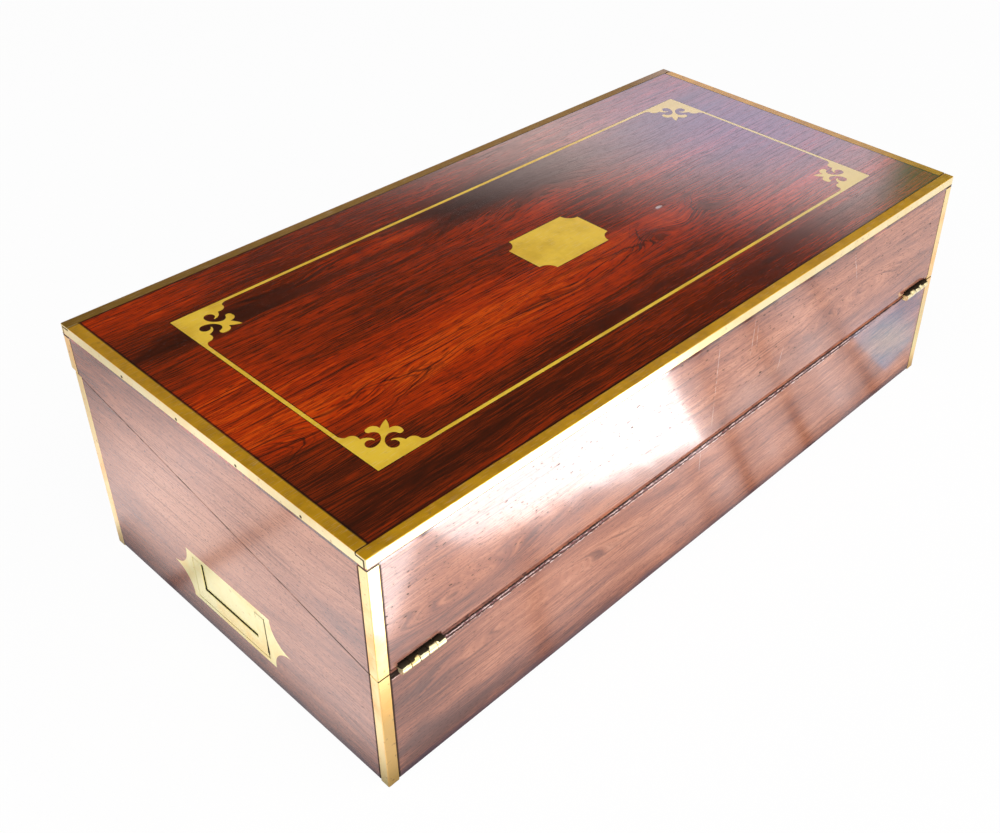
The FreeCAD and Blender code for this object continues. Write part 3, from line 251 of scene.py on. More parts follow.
# %% Pattern helpers
def noise(x, y, z, detail=2.0, rough=0.5):
    """Soft cloudy noise from 0 to 1 at a place."""
    shade = next(axis for axis in (x, y, z) if isinstance(axis, Shade))
    place = shade.add("CombineXYZ", {}, {0: x, 1: y, 2: z})
    return place.add("TexNoise", {}, {"Vector": place, "Scale": 1.0, "Detail": detail,
                                      "Roughness": rough})


def wobble(amount, *place):
    """(noise - 0.5) x amount, which swings to both sides of 0."""
    return (noise(*place) - 0.5) * amount


def patch(x, y, spot):
    """A soft oval spot: 1 in the middle and 0 at twice its size; spot is its x, y, half length and
    half width, and the place is scaled by them, so its length is the distance in half sizes."""
    centre_x, centre_y, half_length, half_width = spot
    place = x.add("CombineXYZ", {}, {0: x, 1: y})
    scaled = place.add("VectorMath", {"operation": "MULTIPLY_ADD"},
                       {0: place, 1: (1 / half_length, 1 / half_width, 0.0),
                        2: (-centre_x / half_length, -centre_y / half_width, 0.0)})
    return scaled.add("VectorMath", {"operation": "LENGTH"}, {0: scaled}, 1).rise(1.95, 0.0)


def patches(x, y, spots):
    """Sum of soft oval spots, each times the amount that ends its row."""
    total = 0.0
    for *spot, amount in spots:
        total = patch(x, y, spot) * amount + total
    return total


def line(distance, width, soft=0.25):
    """1 on a line of some width, in millimetres, where distance is how far the point is off."""
    return abs(distance).rise(width / 2 + soft, max(width / 2 - soft, 0.0))


def out_of_box(x, y, half_length, half_width):
    """How far outside a middle rectangle a point lies: the larger of |x| - a and |y| - b."""
    return (abs(x) - half_length).most(abs(y) - half_width)


print("noise, spots and lines are ready")

# %% [markdown]
# ## Grain
#
# Rosewood veneer has its grain along the case: orange-red between near-black streaks, and pointed
# loops where the saw met the rings at a slant.  A wood texture with straight rings would look
# mechanical.  Instead each point gets a number that grows across the grain, bent by slow noise and
# by a few long spots.  Lines of equal number are the grain, and where a spot is steep enough they
# close into loops.  The open pores are too short to follow it, so they stay straight.

# %% Grain and streaks
def grain(along, across, loops):
    """A number in millimetres that grows across the grain: the distance across, slow noise x 9,
    quick noise x 1.8, and for each loop its height times its spot."""
    field = across + wobble(9, along / 150, across / 60, 3.0)
    field = field + wobble(1.8, along / 34, across / 11, 7.0, 1.0)
    return field + patches(along, across, loops)


def streaks(along, field, across, depth):
    """Three sizes of dark streak, from the wide ones to the pores, each 1 where it is black."""
    wide = noise(along / 130, field / 3.4, depth, 2.0).rise(0.45, 0.30)
    fine = noise(along / 85, field / 0.95, depth + 5, 1.0).rise(0.45, 0.32)
    pores = noise(along / 4, across / 0.5, depth + 9, 1.0).rise(0.36, 0.29)
    return wide, fine, pores


def flame(x, y, tip, slope, reach):
    """Three nested dark lines that meet in a point: where height from the tip's level is slope
    times the distance behind the tip.  A negative reach opens the point to the right."""
    behind = (tip[0] - x) * (1 if reach > 0 else -1)
    height = (abs(y - tip[1]) * abs(y - tip[1]) + 1.5).math("SQRT")
    nested = 0.0
    for step, width, dark in ((0, 1.2, 1.0), (-9, 0.8, 0.7), (7, 0.7, 0.5)):
        nested = line(height - 1.2 - (behind + step) * slope, width, 0.5) * dark + nested
    return nested * behind.rise(-14, 0) * behind.rise(abs(reach), abs(reach) * 0.3)


print("grain from noise and loops")

# %% [markdown]
# ## The rosewood of the lid's top
#
# The top is one sheet, darker in bands near its edges and lighter in a few clouds.  Its colour is
# one number, the tone, looked up in a ramp from near-black to orange; each row of the zones lifts
# or lowers the tone in one oval, and the ovals' edges are made ragged along the grain.

# %% Tone of the top
TOP_TONES = [(0.10, (0.024, 0.007, 0.003)), (0.30, (0.062, 0.010, 0.003)),
             (0.52, (0.170, 0.020, 0.003)), (0.78, (0.460, 0.034, 0.002)),
             (1.00, (0.660, 0.080, 0.004))]
TOP_LOOPS = [(-196, -43, 46, 8, 9), (-22, -45, 46, 6, 6), (48, -34, 15, 7, -7),
             (98, -33, 14, 8, -7), (-150, 70, 40, 6, 6), (40, 62, 60, 14, -14)]
TOP_ZONES = [(-123, -34, 110, 24, 0.27), (-236, -2, 45, 24, 0.26), (-45, -22, 50, 26, 0.14),
             (-55, 73, 24, 6, 0.30), (-98, 71, 30, 6, 0.16), (-220, 106, 34, 10, 0.20),
             (62, -26, 44, 14, 0.16), (22, 38, 26, 9, 0.10), (-190, 38, 44, 15, 0.12),
             (-190, 70, 80, 9, -0.32), (22, 72, 62, 15, -0.52), (150, 62, 80, 20, -0.25),
             (-150, -106, 170, 15, -0.14), (60, -104, 190, 13, -0.08),
             (-245, -106, 44, 15, -0.12), (0, -52, 50, 12, 0.08), (-225, -70, 30, 14, -0.12),
             (90, 106, 170, 16, -0.04), (145, -62, 55, 10, 0.22), (200, 20, 60, 90, -0.04),
             (-70, -78, 160, 6, -0.12), (-125, -42, 50, 16, 0.08), (47, -34, 9, 9, -0.26),
             (99, -34, 10, 8, -0.22), (-250, -60, 22, 12, -0.10)]

top_finish, (x, y, z) = start_finish("rosewood_top")
field = grain(x, y, TOP_LOOPS)
tone = 0.56 + wobble(0.75, x / 170, field / 15, 1.5, 3.0, 0.6)
tone = tone + wobble(0.80, x / 20, field / 0.85, 2.5, 2.0, 0.6)
ragged_x = x + wobble(26, x / 26, y / 6, 2.0)
ragged_y = y + wobble(9, x / 60, y / 5, 8.0)
tone = tone + patches(ragged_x, ragged_y, TOP_ZONES)
top_wood = tone.add("ValToRGB", {"stops": TOP_TONES}, {0: tone})
print("tone of the top:", len(TOP_ZONES), "zones")

# %% [markdown]
# Over the tone lie the black streaks, from wide to fine, short dashes, and the pointed loops, or
# flames, that a slanted cut leaves.  The wide streaks are faint in the band next to the hinges.

# %% Streaks of the top
NEAR_BLACK = (0.024, 0.008, 0.004)
FLAMES = [((-142, -43), 0.27, 60), ((33, -38), 0.16, 80), ((36, -33), 0.9, -16),
          ((90, -32), 0.8, -20), ((-222, -44), 0.5, 24), ((-20, 71), 0.5, 40)]

wide, fine, pores = streaks(x, field, y, 1.0)
dashes = noise(x / 11, field / 0.55, 6.0, 1.0).rise(0.47, 0.36)
off_hinge_band = y.rise(-96, -88) * 0.35 + 0.10
for streak in (wide * off_hinge_band, fine * 0.72, dashes * 0.66):
    top_wood = streak.blend(top_wood, NEAR_BLACK)
bent_x = x + wobble(9, x / 14, y / 5, 12.0, 3.0)
bent_y = y + wobble(4, x / 12, y / 6, 15.0, 3.0)
for tip, slope, reach in FLAMES:
    dark = (flame(bent_x, bent_y, tip, slope, reach) * 0.75).least(0.8)
    top_wood = dark.blend(top_wood, NEAR_BLACK)
top_wood = (pores * 0.70).blend(top_wood, NEAR_BLACK)
print("streaks of the top:", len(FLAMES), "flames")

# %% [markdown]
# Dark glue shows as hairlines beside the inlaid frame, the plaque and the brass rim, and one chip
# has left a pale spot.  The polish is thick and nearly even: streaks and pores drink a little of
# it, so they take some of the coat away and the reflection breaks up along the grain.

# %% Polish of the top
GLUE = (0.008, 0.005, 0.004)
FRAME_HALF = (213, 87)
PLAQUE_HALF = (30.15, 20.4)
PLAQUE_CORNER = 44
RIM_HALF = (246.6, 120.6)
CHIP = (76.5, -15.0, 2.8, 1.2)

off_frame = out_of_box(x, y, *FRAME_HALF)
notched = (abs(x) + abs(y) - PLAQUE_CORNER).rise(-1, 1) * 9
off_plaque = out_of_box(x, y, *PLAQUE_HALF) + notched
hairlines = line(off_frame - 0.2, 0.35).most(line(off_frame + 2.5, 0.35))
hairlines = hairlines.most(line(off_plaque - 0.25, 0.5))
rim_line = line(abs(x) - RIM_HALF[0], 0.9, 0.5).most(line(abs(y) - RIM_HALF[1], 0.9, 0.5))
top_wood = (hairlines * 0.85).blend(top_wood, GLUE)
top_wood = (rim_line * 0.85).blend(top_wood, GLUE)
chip = patch(x + wobble(3, x / 2, y / 2, 4.0), y, CHIP)
top_wood = chip.rise(0.3, 0.7).blend(top_wood, (0.50, 0.42, 0.42))
polish = noise(x / 60, y / 45, 6.0, 3.0) * 0.05 + fine * 0.03 + 0.08
gloss = 1.0 - fine * 0.34 - dashes * 0.34 - pores * 0.40
relief = (1 - pores * 0.6 - dashes * 0.3) - chip * 4
end_finish(top_finish, top_wood, polish, relief, 0.009, {"Coat Weight": gloss},
           Coat_Roughness=0.05, Coat_IOR=1.5, IOR=1.5)
print("rosewood of the top:", len(top_finish.node_tree.nodes), "nodes")

# %% [markdown]
# ## The tone of the upright faces
#
# The upright faces are faded to an orange brown.  On the long sides the grain runs along X, and on
# the ends along Y.  The ends of the long boards show on the ends of the box, so the pattern picks
# its axis from how far out along X the point lies: only the end faces lie out at 254 mm.  As on
# the top, a tone is looked up in a ramp, with spots of their own for the sides and for the ends.

# %% Tone of the upright faces
HALF_LENGTH = 254
HALF_DEPTH = 128
HINGE_FACE = (-127.0, -127.6)
SIDE_TONES = [(0.15, (0.130, 0.050, 0.038)), (0.38, (0.290, 0.098, 0.058)),
              (0.60, (0.470, 0.170, 0.088)), (0.90, (0.640, 0.270, 0.150))]
SIDE_ZONES = [(-60, 110, 140, 22, 0.05), (40, 118, 60, 14, 0.10), (-120, 45, 90, 22, 0.10),
              (-235, 40, 34, 50, -0.20), (60, 30, 70, 30, 0.03), (-180, 20, 60, 20, -0.02),
              (-200, 100, 46, 12, -0.12), (230, 100, 40, 60, -0.08), (212, 18, 34, 12, 0.14),
              (100, 20, 40, 14, 0.10), (-160, 10, 80, 12, -0.22)]
END_ZONES = [(44, 88, 50, 30, 0.34), (-64, 132, 50, 22, 0.30), (-20, 74, 62, 28, 0.20),
             (-100, 90, 18, 14, -0.16), (128, 140, 50, 30, -0.20)]


def side_tone(place, along, field, on_end, seed):
    """0.5, plus three noises, plus the spots of the side or of the end, which has a dark foot."""
    x, y, z = place
    tone = 0.50 + wobble(0.85 - on_end * 0.2, along / 130, field / 16, seed, 3.0, 0.6)
    tone = tone + wobble(0.85 - on_end * 0.10, along / 16, field / 0.8, seed + 2, 2.0, 0.6)
    tone = tone + wobble(0.45, along / 26, field / 6, seed + 6, 3.0, 0.65)
    tone = tone + patches(x, z, SIDE_ZONES) * (1 - on_end)
    return tone + (patches(y, z, END_ZONES) - z.rise(32, 12) * 0.22) * on_end


print("upright faces:", len(SIDE_ZONES), "zones on the sides,", len(END_ZONES), "on the ends")

# %% [markdown]
# ## Bloom, painted haze and scratches
#
# Old polish turns milky where damp or heat got at it, and a shine on polish veils its colour in
# the same way.  Here both are one thin grey veil over the colour, partly bloom and partly painted
# reflection haze, so it hides contrast, which a lighter tone would not do.  The hinge side also has
# a few upright scratches.  Each is one thin line in X that leans and wavers with height, and a
# noise breaks it up, because a scratch skips over the hard parts of the grain.

# %% Bloom, painted haze and scratches
SIDE_BLOOM_AND_HAZE = [(-250, 40, 60, 60, 0.10), (10, 92, 90, 14, 0.15)]
END_BLOOM_AND_HAZE = [(-100, 70, 110, 110, 0.07)]
SCRATCHES = [(-4.0, 90, 146, 0.0), (28.0, 124, 148, 0.06), (33.5, 128, 142, -0.05),
             (142.0, 126, 148, -0.35), (60.0, 96, 112, 0.25), (-12.0, 60, 76, 0.0)]


def bloom_and_painted_haze(x, y, z, on_end):
    """How much of the veil, bloom and painted reflection haze, lies over the wood: 0.04, plus the
    spots of the side or of the end.
    """
    # a painted veil: partly bloom, partly painted reflection haze
    bloom = patches(y, z, END_BLOOM_AND_HAZE) * on_end + 0.04
    return bloom + patches(x, z, SIDE_BLOOM_AND_HAZE) * (1 - on_end)


def scratch_marks(x, y, z):
    """1 on a scratch: a line at its x + lean x height, between its low and its high end."""
    marks = 0.0
    for place, low, high, lean in SCRATCHES:
        bent = x - place - (z - low) * lean + wobble(1.5, z / 8, 1.0, place)
        length = z.rise(low - 2, low + 4) * z.rise(high + 2, high - 4)
        marks = line(bent, 0.25, 0.22) * length + marks
    return marks * y.rise(*HINGE_FACE) * noise(x / 3, z / 3, 2.0).rise(0.3, 0.55)


print("bloom in", len(SIDE_BLOOM_AND_HAZE) + len(END_BLOOM_AND_HAZE), "spots,", len(SCRATCHES), "scratches")

# %% [markdown]
# ## Where the wood meets brass
#
# Veneer shrinks away from its brass binding, and polish and dust fill the gap: a dark hairline
# under the strips and beside the corners.  On the ends the strip has lifted over three stretches,
# and there the line is wider.

# %% Joints beside the brass
STRIP_FOOT = 152.4
CORNER_EDGE = (246.7, 121.4)
LIFTED = [(48, 26, 2), (-10, 24, 2), (-45, 28, 2)]


def lines(distance, rows):
    """Sum of lines at several places: each row is a place, a width and a softness."""
    total = 0.0
    for place, width, soft in rows:
        total = line(distance - place, width, soft) + total
    return total


def brass_joints(along, y, z, on_end):
    """Lines under the strip and beside the corner brass, which is nearer on the ends."""
    lifted = line(z - STRIP_FOOT + 0.2, 1.3, 0.4) * lines(y, LIFTED) * on_end
    under_strip = line(z - STRIP_FOOT, 0.7, 0.4).most(lifted)
    corner = CORNER_EDGE[0] - on_end * (CORNER_EDGE[0] - CORNER_EDGE[1])
    return under_strip.most(line(abs(along) - corner, 0.9, 0.4)) * 0.9


print("corner brass ends at", CORNER_EDGE, "mm on the sides and on the ends")

# %% [markdown]
# ## The parting line
#
# Lid and base meet along a slope that climbs from the hinge side to the lock side, so a point's
# height above that slope says how far from the parting line it lies.  On the ends and the lock
# side the line is fine.  On the hinge side the veneer has split along it: a red-brown band with
# the dark gap in it, and pale lines along its edges that are partly slivers of bare wood and partly
# painted highlights on those edges.  Cutting that into the solids would take thousands of faces,
# and as lines of the finish it costs none.

# %% Parting line
SEAM_AT_HINGES = 79.5
SEAM_SLOPE = 0.19336
SLIVERS_AND_HIGHLIGHTS = [(0.9, 0.6, 0.3), (-1.9, 0.9, 0.3), (-4.3, 0.7, 0.3)]


def above_seam(y, z):
    """How far a point lies above the slope where lid and base meet, in millimetres of height."""
    return z - SEAM_AT_HINGES - (y + HALF_DEPTH) * SEAM_SLOPE


def parting_marks(place, along, on_end, hinge_side):
    """The split, the pale slivers and painted highlights on its edges, and the dark crack, each 1
    where it shows; the crack is faint on parts of the ends, ragged on the hinge side and straight
    on the lock side."""
    x, y, z = place
    straight = line(above_seam(y, z), 0.7, 0.4)
    seam = above_seam(y, z) + wobble(2.2, along / 2.2, z / 2.2, 5.0, 3.0)
    splintered = hinge_side * x.rise(200, 130)
    split = line(seam + 1.8, 3.6, 0.4) * splintered
    chipped = noise(x / 4, z / 1.2, 4.0, 3.0).rise(0.46, 0.56)
    # pale lines on the split's edges: slivers of bare wood and painted highlights
    slivers_and_highlights = lines(seam, SLIVERS_AND_HIGHLIGHTS) * splintered * chipped
    clear = y.rise(-62, -74).most(noise(y / 17, 4.0, 1.0).rise(0.46, 0.56))
    crack = straight * (clear * 0.8 + 0.2) * on_end + straight * y.rise(124.4, 124.7)
    open_gap = line(seam + 0.5, 1.3, 0.3) + line(seam + 3.3, 0.9, 0.3) * splintered
    beside_hinge = line(seam + 1.4, 3.6, 0.3) * abs(x).rise(241.2, 242.2)
    return split, slivers_and_highlights, (crack + (open_gap + beside_hinge) * hinge_side).least(1.0)


print(f"the parting line climbs {2 * HALF_DEPTH * SEAM_SLOPE:.1f} mm")

# %% [markdown]
# ## The rosewood of the upright faces
#
# Now the parts come together for the case, the lid and the drawer front.  Each is one layer over
# those before it, from the broad to the sharp: streaks, bloom with painted reflection haze, pores
# and flecks, scratches, painted shade along the foot, and last the split along the parting line
# with its slivers and painted highlights.  Pores and flecks also take gloss away, so that bright
# reflections break up over them as they do on old polish.

# %% Faded rosewood
SIDE_LOOPS = [(-205, 97, 60, 9, 15), (-150, 62, 90, 8, -12), (60, 100, 120, 10, 10),
              (150, 120, 40, 8, -9)]
GRAIN_OF_ENDS = 300


def faded_rosewood(name, seed):
    """Veneer of an upright face; seed moves the noise so that no two boards match."""
    finish, (x, y, z) = start_finish(name)
    on_end = abs(x).rise(HALF_LENGTH - 0.7, HALF_LENGTH - 0.3)
    hinge_side = y.rise(-127.6, -127.9)
    along = x + (y - x) * on_end
    field = grain(along + on_end * GRAIN_OF_ENDS, z, SIDE_LOOPS)
    tone = side_tone((x, y, z), along, field, on_end, seed)
    wide, fine, pores = streaks(along, field, z, seed)
    flecks = noise(along / 3.0, z / 0.7, seed + 20, 2.0).rise(0.37, 0.32)
    # painted shade: a blue-black band along the foot, as the polish would show the shade under the
    # box
    foot = (z + wobble(8, along / 40, 2.0, 1.0)).rise(9.0, 2.0)
    split, slivers_and_highlights, crack = parting_marks((x, y, z), along, on_end, hinge_side)
    wood = tone.add("ValToRGB", {"stops": SIDE_TONES}, {0: tone})
    # the veil row is partly painted haze, the foot row painted shade, the slivers row partly
    # painted highlights
    for amount, colour in ((wide * (0.22 - on_end * 0.14), SIDE_TONES[0][1]),
                           (fine * (0.58 - on_end * 0.10), (0.11, 0.042, 0.034)),
                           (bloom_and_painted_haze(x, y, z, on_end), (0.46, 0.40, 0.38)),
                           (pores * 0.70, (0.045, 0.022, 0.022)),
                           (flecks * (0.45 + on_end * 0.40), (0.06, 0.028, 0.026)),
                           (scratch_marks(x, y, z) * 0.6, (0.85, 0.70, 0.62)),
                           (foot * 0.75, (0.045, 0.040, 0.065)),
                           (split * 0.9, (0.13, 0.016, 0.018)),
                           (slivers_and_highlights * 0.9, (0.86, 0.66, 0.60))):
        wood = amount.blend(wood, colour)
    specks = noise(along / 3.6, z / 1.3, seed + 30, 2.0).rise(0.35, 0.31)
    matt_dark = crack.most(brass_joints(along, y, z, on_end)).most(specks * hinge_side * z.rise(92, 104))
    polish = noise(along / 50, z / 40, 6.0, 3.0) * 0.10 + 0.16
    gloss = 0.56 - fine * 0.30 - pores * 0.36 - flecks * 0.2
    return end_finish(finish, wood, polish, (1 - pores * 0.6) - crack, 0.020,
                      {"Coat Weight": gloss}, matt_dark * 0.95,
                      Coat_Roughness=0.08, Coat_IOR=1.5, IOR=1.5)


case_finish = faded_rosewood("rosewood_case", 2.0)
lid_finish = faded_rosewood("rosewood_lid", 3.0)
drawer_finish = faded_rosewood("rosewood_drawer", 5.0)
print("faded rosewood:", len(case_finish.node_tree.nodes), "nodes")

# %% [markdown]
# ## Brass
#
# Old brass is never one colour.  It is bright where hands and dusters rub, dull where they miss,
# and brown in spots where the lacquer failed.  Three noises do this: a slow one for the clouds, a
# small one for the spots, and a stretched one for the hairline scratches, which also roughen the
# gloss.  The strips along the top edges are darker on top, partly tarnish where dust lay and partly
# painted shade, and keep the paler brass down their sides, so their finish also looks at how high
# the point lies.  Along the lock side their tops are painted browner still, as shade.

# %% Brass
RIM_TOP = (158.45, 158.80)
WAX = 0.8


def strip_tarnish_and_shade(x, y, colours):
    """Two colours in clouds, partly tarnish and partly painted shade, and browner along the lock
    side as painted shade.
    """
    tarnish_and_shade = noise(x / 12, y / 12, 3.0, 4.0, 0.6).rise(0.35, 0.7).blend(*colours)
    # painted shade: browner along the lock side
    return (y.rise(119, 121) * 0.75).blend(tarnish_and_shade, (0.17, 0.095, 0.010))


def brass(name, bright, dull, spots, roughness, shine=0.75, dirt_and_shade=None, top=None, painted_haze=None,
          foot=None):
    """Worn, waxed brass with clouds, brown spots and fine scratches.  Shine is how much of it is
    clean metal and dirt_and_shade a function of place that is 1 where old polish and dirt have
    packed or where shade is painted; top has its colours above the lid's rim, where little wax is
    left, which are partly tarnish and partly painted shade; painted_haze is a paler colour towards
    the right end, a painted reflection, and foot a browner one low on the hinge side."""
    finish, (x, y, z) = start_finish(name)
    clouds = noise(x / 22, y / 22, z / 22, 4.0, 0.6).rise(0.35, 0.70)
    stain = noise(x / 3.1 + 9, y / 3.1, z / 3.1, 3.0).rise(0.62, 0.76)
    scratches = noise(x / 9, y / 0.5, z / 0.5, 1.0).rise(0.60, 0.70)
    metal = clouds.blend(bright, dull)
    rough = roughness + clouds * 0.08 + stain * 0.12 + scratches * 0.05
    wax = WAX
    if top:
        # darker colours on the tops of the strips: partly tarnish, partly painted shade
        on_top = z.rise(*RIM_TOP)
        metal = on_top.blend(metal, strip_tarnish_and_shade(x, y, top))
        rough = rough + on_top * 0.06
        wax = WAX - on_top * (WAX - x.rise(200, 250) * 0.6)
    if painted_haze:
        # painted reflection: the brass is paler towards the right end
        metal = (x.rise(60, 220) * 0.8).blend(metal, painted_haze)
    if foot:
        metal = (z.rise(92, 62) * y.rise(*HINGE_FACE) * 0.75).blend(metal, foot)
    metal = (stain * spots).blend(metal, (0.42, 0.19, 0.06))
    metal = (scratches * 0.20).blend(metal, (0.98, 0.90, 0.66))
    matt_dark = dirt_and_shade(x, y, z) if dirt_and_shade else None
    return end_finish(finish, metal, rough, scratches * 0.5 + stain * 0.3, 0.006,
                      {"Coat Weight": wax}, matt_dark, Metallic=shine, Coat_Roughness=0.12,
                      Coat_IOR=1.5)


print(f"the tops of the strips lie over {RIM_TOP[0]} mm")

# %% [markdown]
# ## Dirt on the bindings
#
# Each strip and each corner is a separate piece of brass, and the joints between them show as dark
# lines.  So do the pins that hold the end strips, and the edge against the wood.  They are far
# thinner than the strips, so they are lines and spots of matt dirt at the places of the joints.

# %% Dirt on strips and corners
PINS = (68, 18, -32, -82)
PIN_HEIGHT = 154.2
STRIP_INSIDE = (247.0, 121.0)
TOP_JOINT = 120.85
SIDE_JOINT = 126.35
JOINT_STEP = 157.4


def strip_grime(x, y, z):
    """Dark joints where the end strips butt against the long ones: across the top, and on the end
    face level for 5.5 mm and then down; also the pins, and the edge next to the wood."""
    on_top = line(abs(y) - TOP_JOINT, 0.6) * abs(x).rise(246.5, 247.0) * z.rise(157.3, 157.6)
    upright = line(abs(y) - SIDE_JOINT, 0.9) * z.rise(JOINT_STEP + 0.5, JOINT_STEP)
    level = line(z - JOINT_STEP, 0.9) * abs(y).rise(120.4, 120.9) * abs(y).rise(126.8, 126.4)
    on_end = upright + level
    for place in PINS:
        on_end = on_end + patch(y, z, (place, PIN_HEIGHT, 0.9, 0.9)).rise(0.3, 0.7)
    inner_edge = out_of_box(x, y, *STRIP_INSIDE).rise(0.7, 0.2)
    return (on_top + on_end * abs(x).rise(253.6, 253.8) + inner_edge * 0.8).least(1.0)


def corner_grime(x, y, z):
    """Dirt under the strips, and in the parting line on the hinge side."""
    seam = line(above_seam(y, z), 0.6) * y.rise(-126.9, -127.4)
    return line(z - STRIP_FOOT + 0.3, 1.3).most(seam)


print("dirt round", len(PINS), "pins in each end strip")

# %% [markdown]
# ## Dirt and painted shade on hinges and handles
#
# A hinge is dark on the side of its knuckles that faces the lid: packed oil and dust, and painted
# shade of the recess that the knuckles lie in.  That dark follows a slanting height, made ragged by
# noise.  In a handle painted shade fills whatever lies deeper than the face of the bail, and the
# gap beside one leg, which is painted wider towards its foot.

# %% Dirt and painted shade on hinges and handles
CLEAN_KNUCKLES = [(222.0, 5.6, 0.3), (232.5, 3.0, 0.3)]
KNUCKLE_GAPS = [(225.8, 0.6, 0.2), (231.2, 0.6, 0.2), (236.6, 0.6, 0.2)]
HINGE_AXIS = -130
DIRT_AND_SHADE_SLANT = 0.35
SHADED_LEG = (32.5, 43)
LEG_TAPER = 0.055
STOP_TOP = (28.6, 49.3)
STOP_SIDE = (24.3, 47.4)


def hinge_dirt_and_shade(x, y, z):
    """The upper inner side of a knuckle, dark with packed oil and dust and with painted shade, but
    for two.
    """
    ragged = wobble(1.2, x / 2.5, y / 2.5, z / 2.5)
    # packed dirt and painted shade above a slanting height
    level = z + (y - HINGE_AXIS) * DIRT_AND_SHADE_SLANT + ragged - lines(abs(x), CLEAN_KNUCKLES)
    return level.rise(80.9, 81.4).most(lines(abs(x), KNUCKLE_GAPS) * 0.7) * 0.98


def handle_painted_shade(x, y, z):
    """Painted shade on everything deeper than the face of the bail, in the gap beside its leg,
    which is painted wider towards the foot, and round its stop; the left handle is the right one
    turned half round, so y is measured towards that leg."""
    # worn is y measured towards the leg whose gap is painted wide with shade
    worn = y * (x / HALF_LENGTH)
    # painted shade in the pan, deeper than the face of the bail
    deep = abs(x).rise(253.72, 253.45)
    gap = abs(worn - SHADED_LEG[0]) - (SHADED_LEG[1] - z) * LEG_TAPER
    beside_leg = gap.rise(0.25, -0.15) * z.rise(23.4, 23.9) * z.rise(SHADED_LEG[1], SHADED_LEG[1] - 1)
    stop = line(z - STOP_TOP[1], 0.5, 0.2) * line(worn - STOP_TOP[0], 9.0)
    stop = stop + line(worn - STOP_SIDE[0], 0.4, 0.2) * line(z - STOP_SIDE[1], 3.8)
    return deep.most(beside_leg).most(stop * 0.7)


print("dirt in", len(KNUCKLE_GAPS), "gaps between knuckles of each hinge")

# %% [markdown]
# ## The brass of each part
#
# Seven brasses differ in colour, spots and shine.  The handles are the brightest, from use, the
# foot of the corners is browner, and the flush inlay has the least metal in it, because it lies
# under the polish of the top; towards the right end it is painted paler, as a reflection.  The lock
# and the fittings inside are dull.

# %% Brass finishes
strip_finish = brass("binding_brass", (0.95, 0.84, 0.45), (0.93, 0.74, 0.32), 0.45, 0.34, 0.7,
                     strip_grime, top=((0.86, 0.47, 0.006), (0.66, 0.34, 0.005)))
corner_finish = brass("corner_brass", (1.00, 0.80, 0.33), (1.00, 0.56, 0.14), 0.75, 0.34,
                      dirt_and_shade=corner_grime, foot=(1.00, 0.60, 0.16))
hinge_finish = brass("hinge_brass", (1.00, 0.90, 0.56), (0.94, 0.68, 0.16), 0.30, 0.34,
                     dirt_and_shade=hinge_dirt_and_shade)
handle_finish = brass("handle_brass", (1.00, 0.97, 0.50), (1.00, 0.80, 0.30), 0.45, 0.38,
                      dirt_and_shade=handle_painted_shade)
pad_finish = brass("pad_brass", (1.00, 0.98, 0.52), (1.00, 0.90, 0.40), 0.30, 0.38)
inlay_finish = brass("inlay_brass", (1.00, 0.68, 0.040), (0.80, 0.50, 0.018), 0.12, 0.46, 0.35,
                     painted_haze=(1.00, 0.84, 0.42))
lock_finish = brass("lock_brass", (0.86, 0.66, 0.30), (0.62, 0.42, 0.16), 0.5, 0.38)
print("brass:", len(strip_finish.node_tree.nodes), "nodes")

# %% [markdown]
# ## Inside wood
#
# Inside, the box is mahogany, plain and open-grained, under little polish.  One function serves
# boards that run along any axis: it takes the axis that the grain follows, and stretches the same
# noises along it.

# %% Mahogany
def mahogany(name, lengthways):
    """Straight-grained reddish wood; lengthways is 0, 1 or 2 for grain along X, Y or Z."""
    finish, axes = start_finish(name)
    along = axes[lengthways]
    across, up = (axes[index] for index in range(3) if index != lengthways)
    field = across + wobble(8, along / 90, across / 25, up / 25)
    tone = noise(along / 160, field / 9, up / 9, 3.0, 0.6).rise(0.25, 0.75)
    pores = noise(along / 6, field / 0.4, up / 0.4, 1.0).rise(0.38, 0.30)
    wood = tone.blend((0.13, 0.042, 0.018), (0.30, 0.115, 0.048))
    wood = (pores * 0.6).blend(wood, (0.05, 0.018, 0.010))
    return end_finish(finish, wood, tone * 0.1 + 0.42, 1 - pores, 0.03, Specular_IOR_Level=0.4)


long_wood = mahogany("mahogany_long", 0)
cross_wood = mahogany("mahogany_cross", 1)
print("mahogany:", len(long_wood.node_tree.nodes), "nodes")

# %% [markdown]
# ## Leather
#
# The two writing flaps carry dark green leather with a gold border of two lines.  A bookbinder
# presses them with a hot wheel that follows the edge, so here they are lines of equal distance
# from the edge, which gives their corners for nothing.

# %% Tooled leather
LEATHER_SIDE = 227.6
GOLD_LINES = ((7, 0.9), (10.5, 0.4))


def tooled_leather(name, y_low, y_high):
    """Dark green leather with fine creases and two gold lines along its border."""
    finish, (x, y, z) = start_finish(name)
    creases = noise(x / 1.3, y / 1.3, z / 1.3, 4.0, 0.6)
    worn = noise(x / 60, y / 38, 2.0, 5.0, 0.65).rise(0.35, 0.80)
    hide = worn.blend((0.012, 0.048, 0.026), (0.022, 0.068, 0.036))
    hide = (creases.rise(0.55, 0.40) * 0.5).blend(hide, (0.007, 0.026, 0.015))
    inward = (LEATHER_SIDE - abs(x)).least((y - y_low).least(y_high - y))
    outer, inner = (line(inward - place, width) for place, width in GOLD_LINES)
    gold = outer.most(inner) * noise(x / 2, y / 2, 5.0).rise(0.25, 0.4)
    hide = gold.blend(hide, (0.70, 0.50, 0.18))
    return end_finish(finish, hide, 0.62 - gold * 0.25, creases - gold * 0.8, 0.10,
                      varying={"Metallic": gold * 0.8})


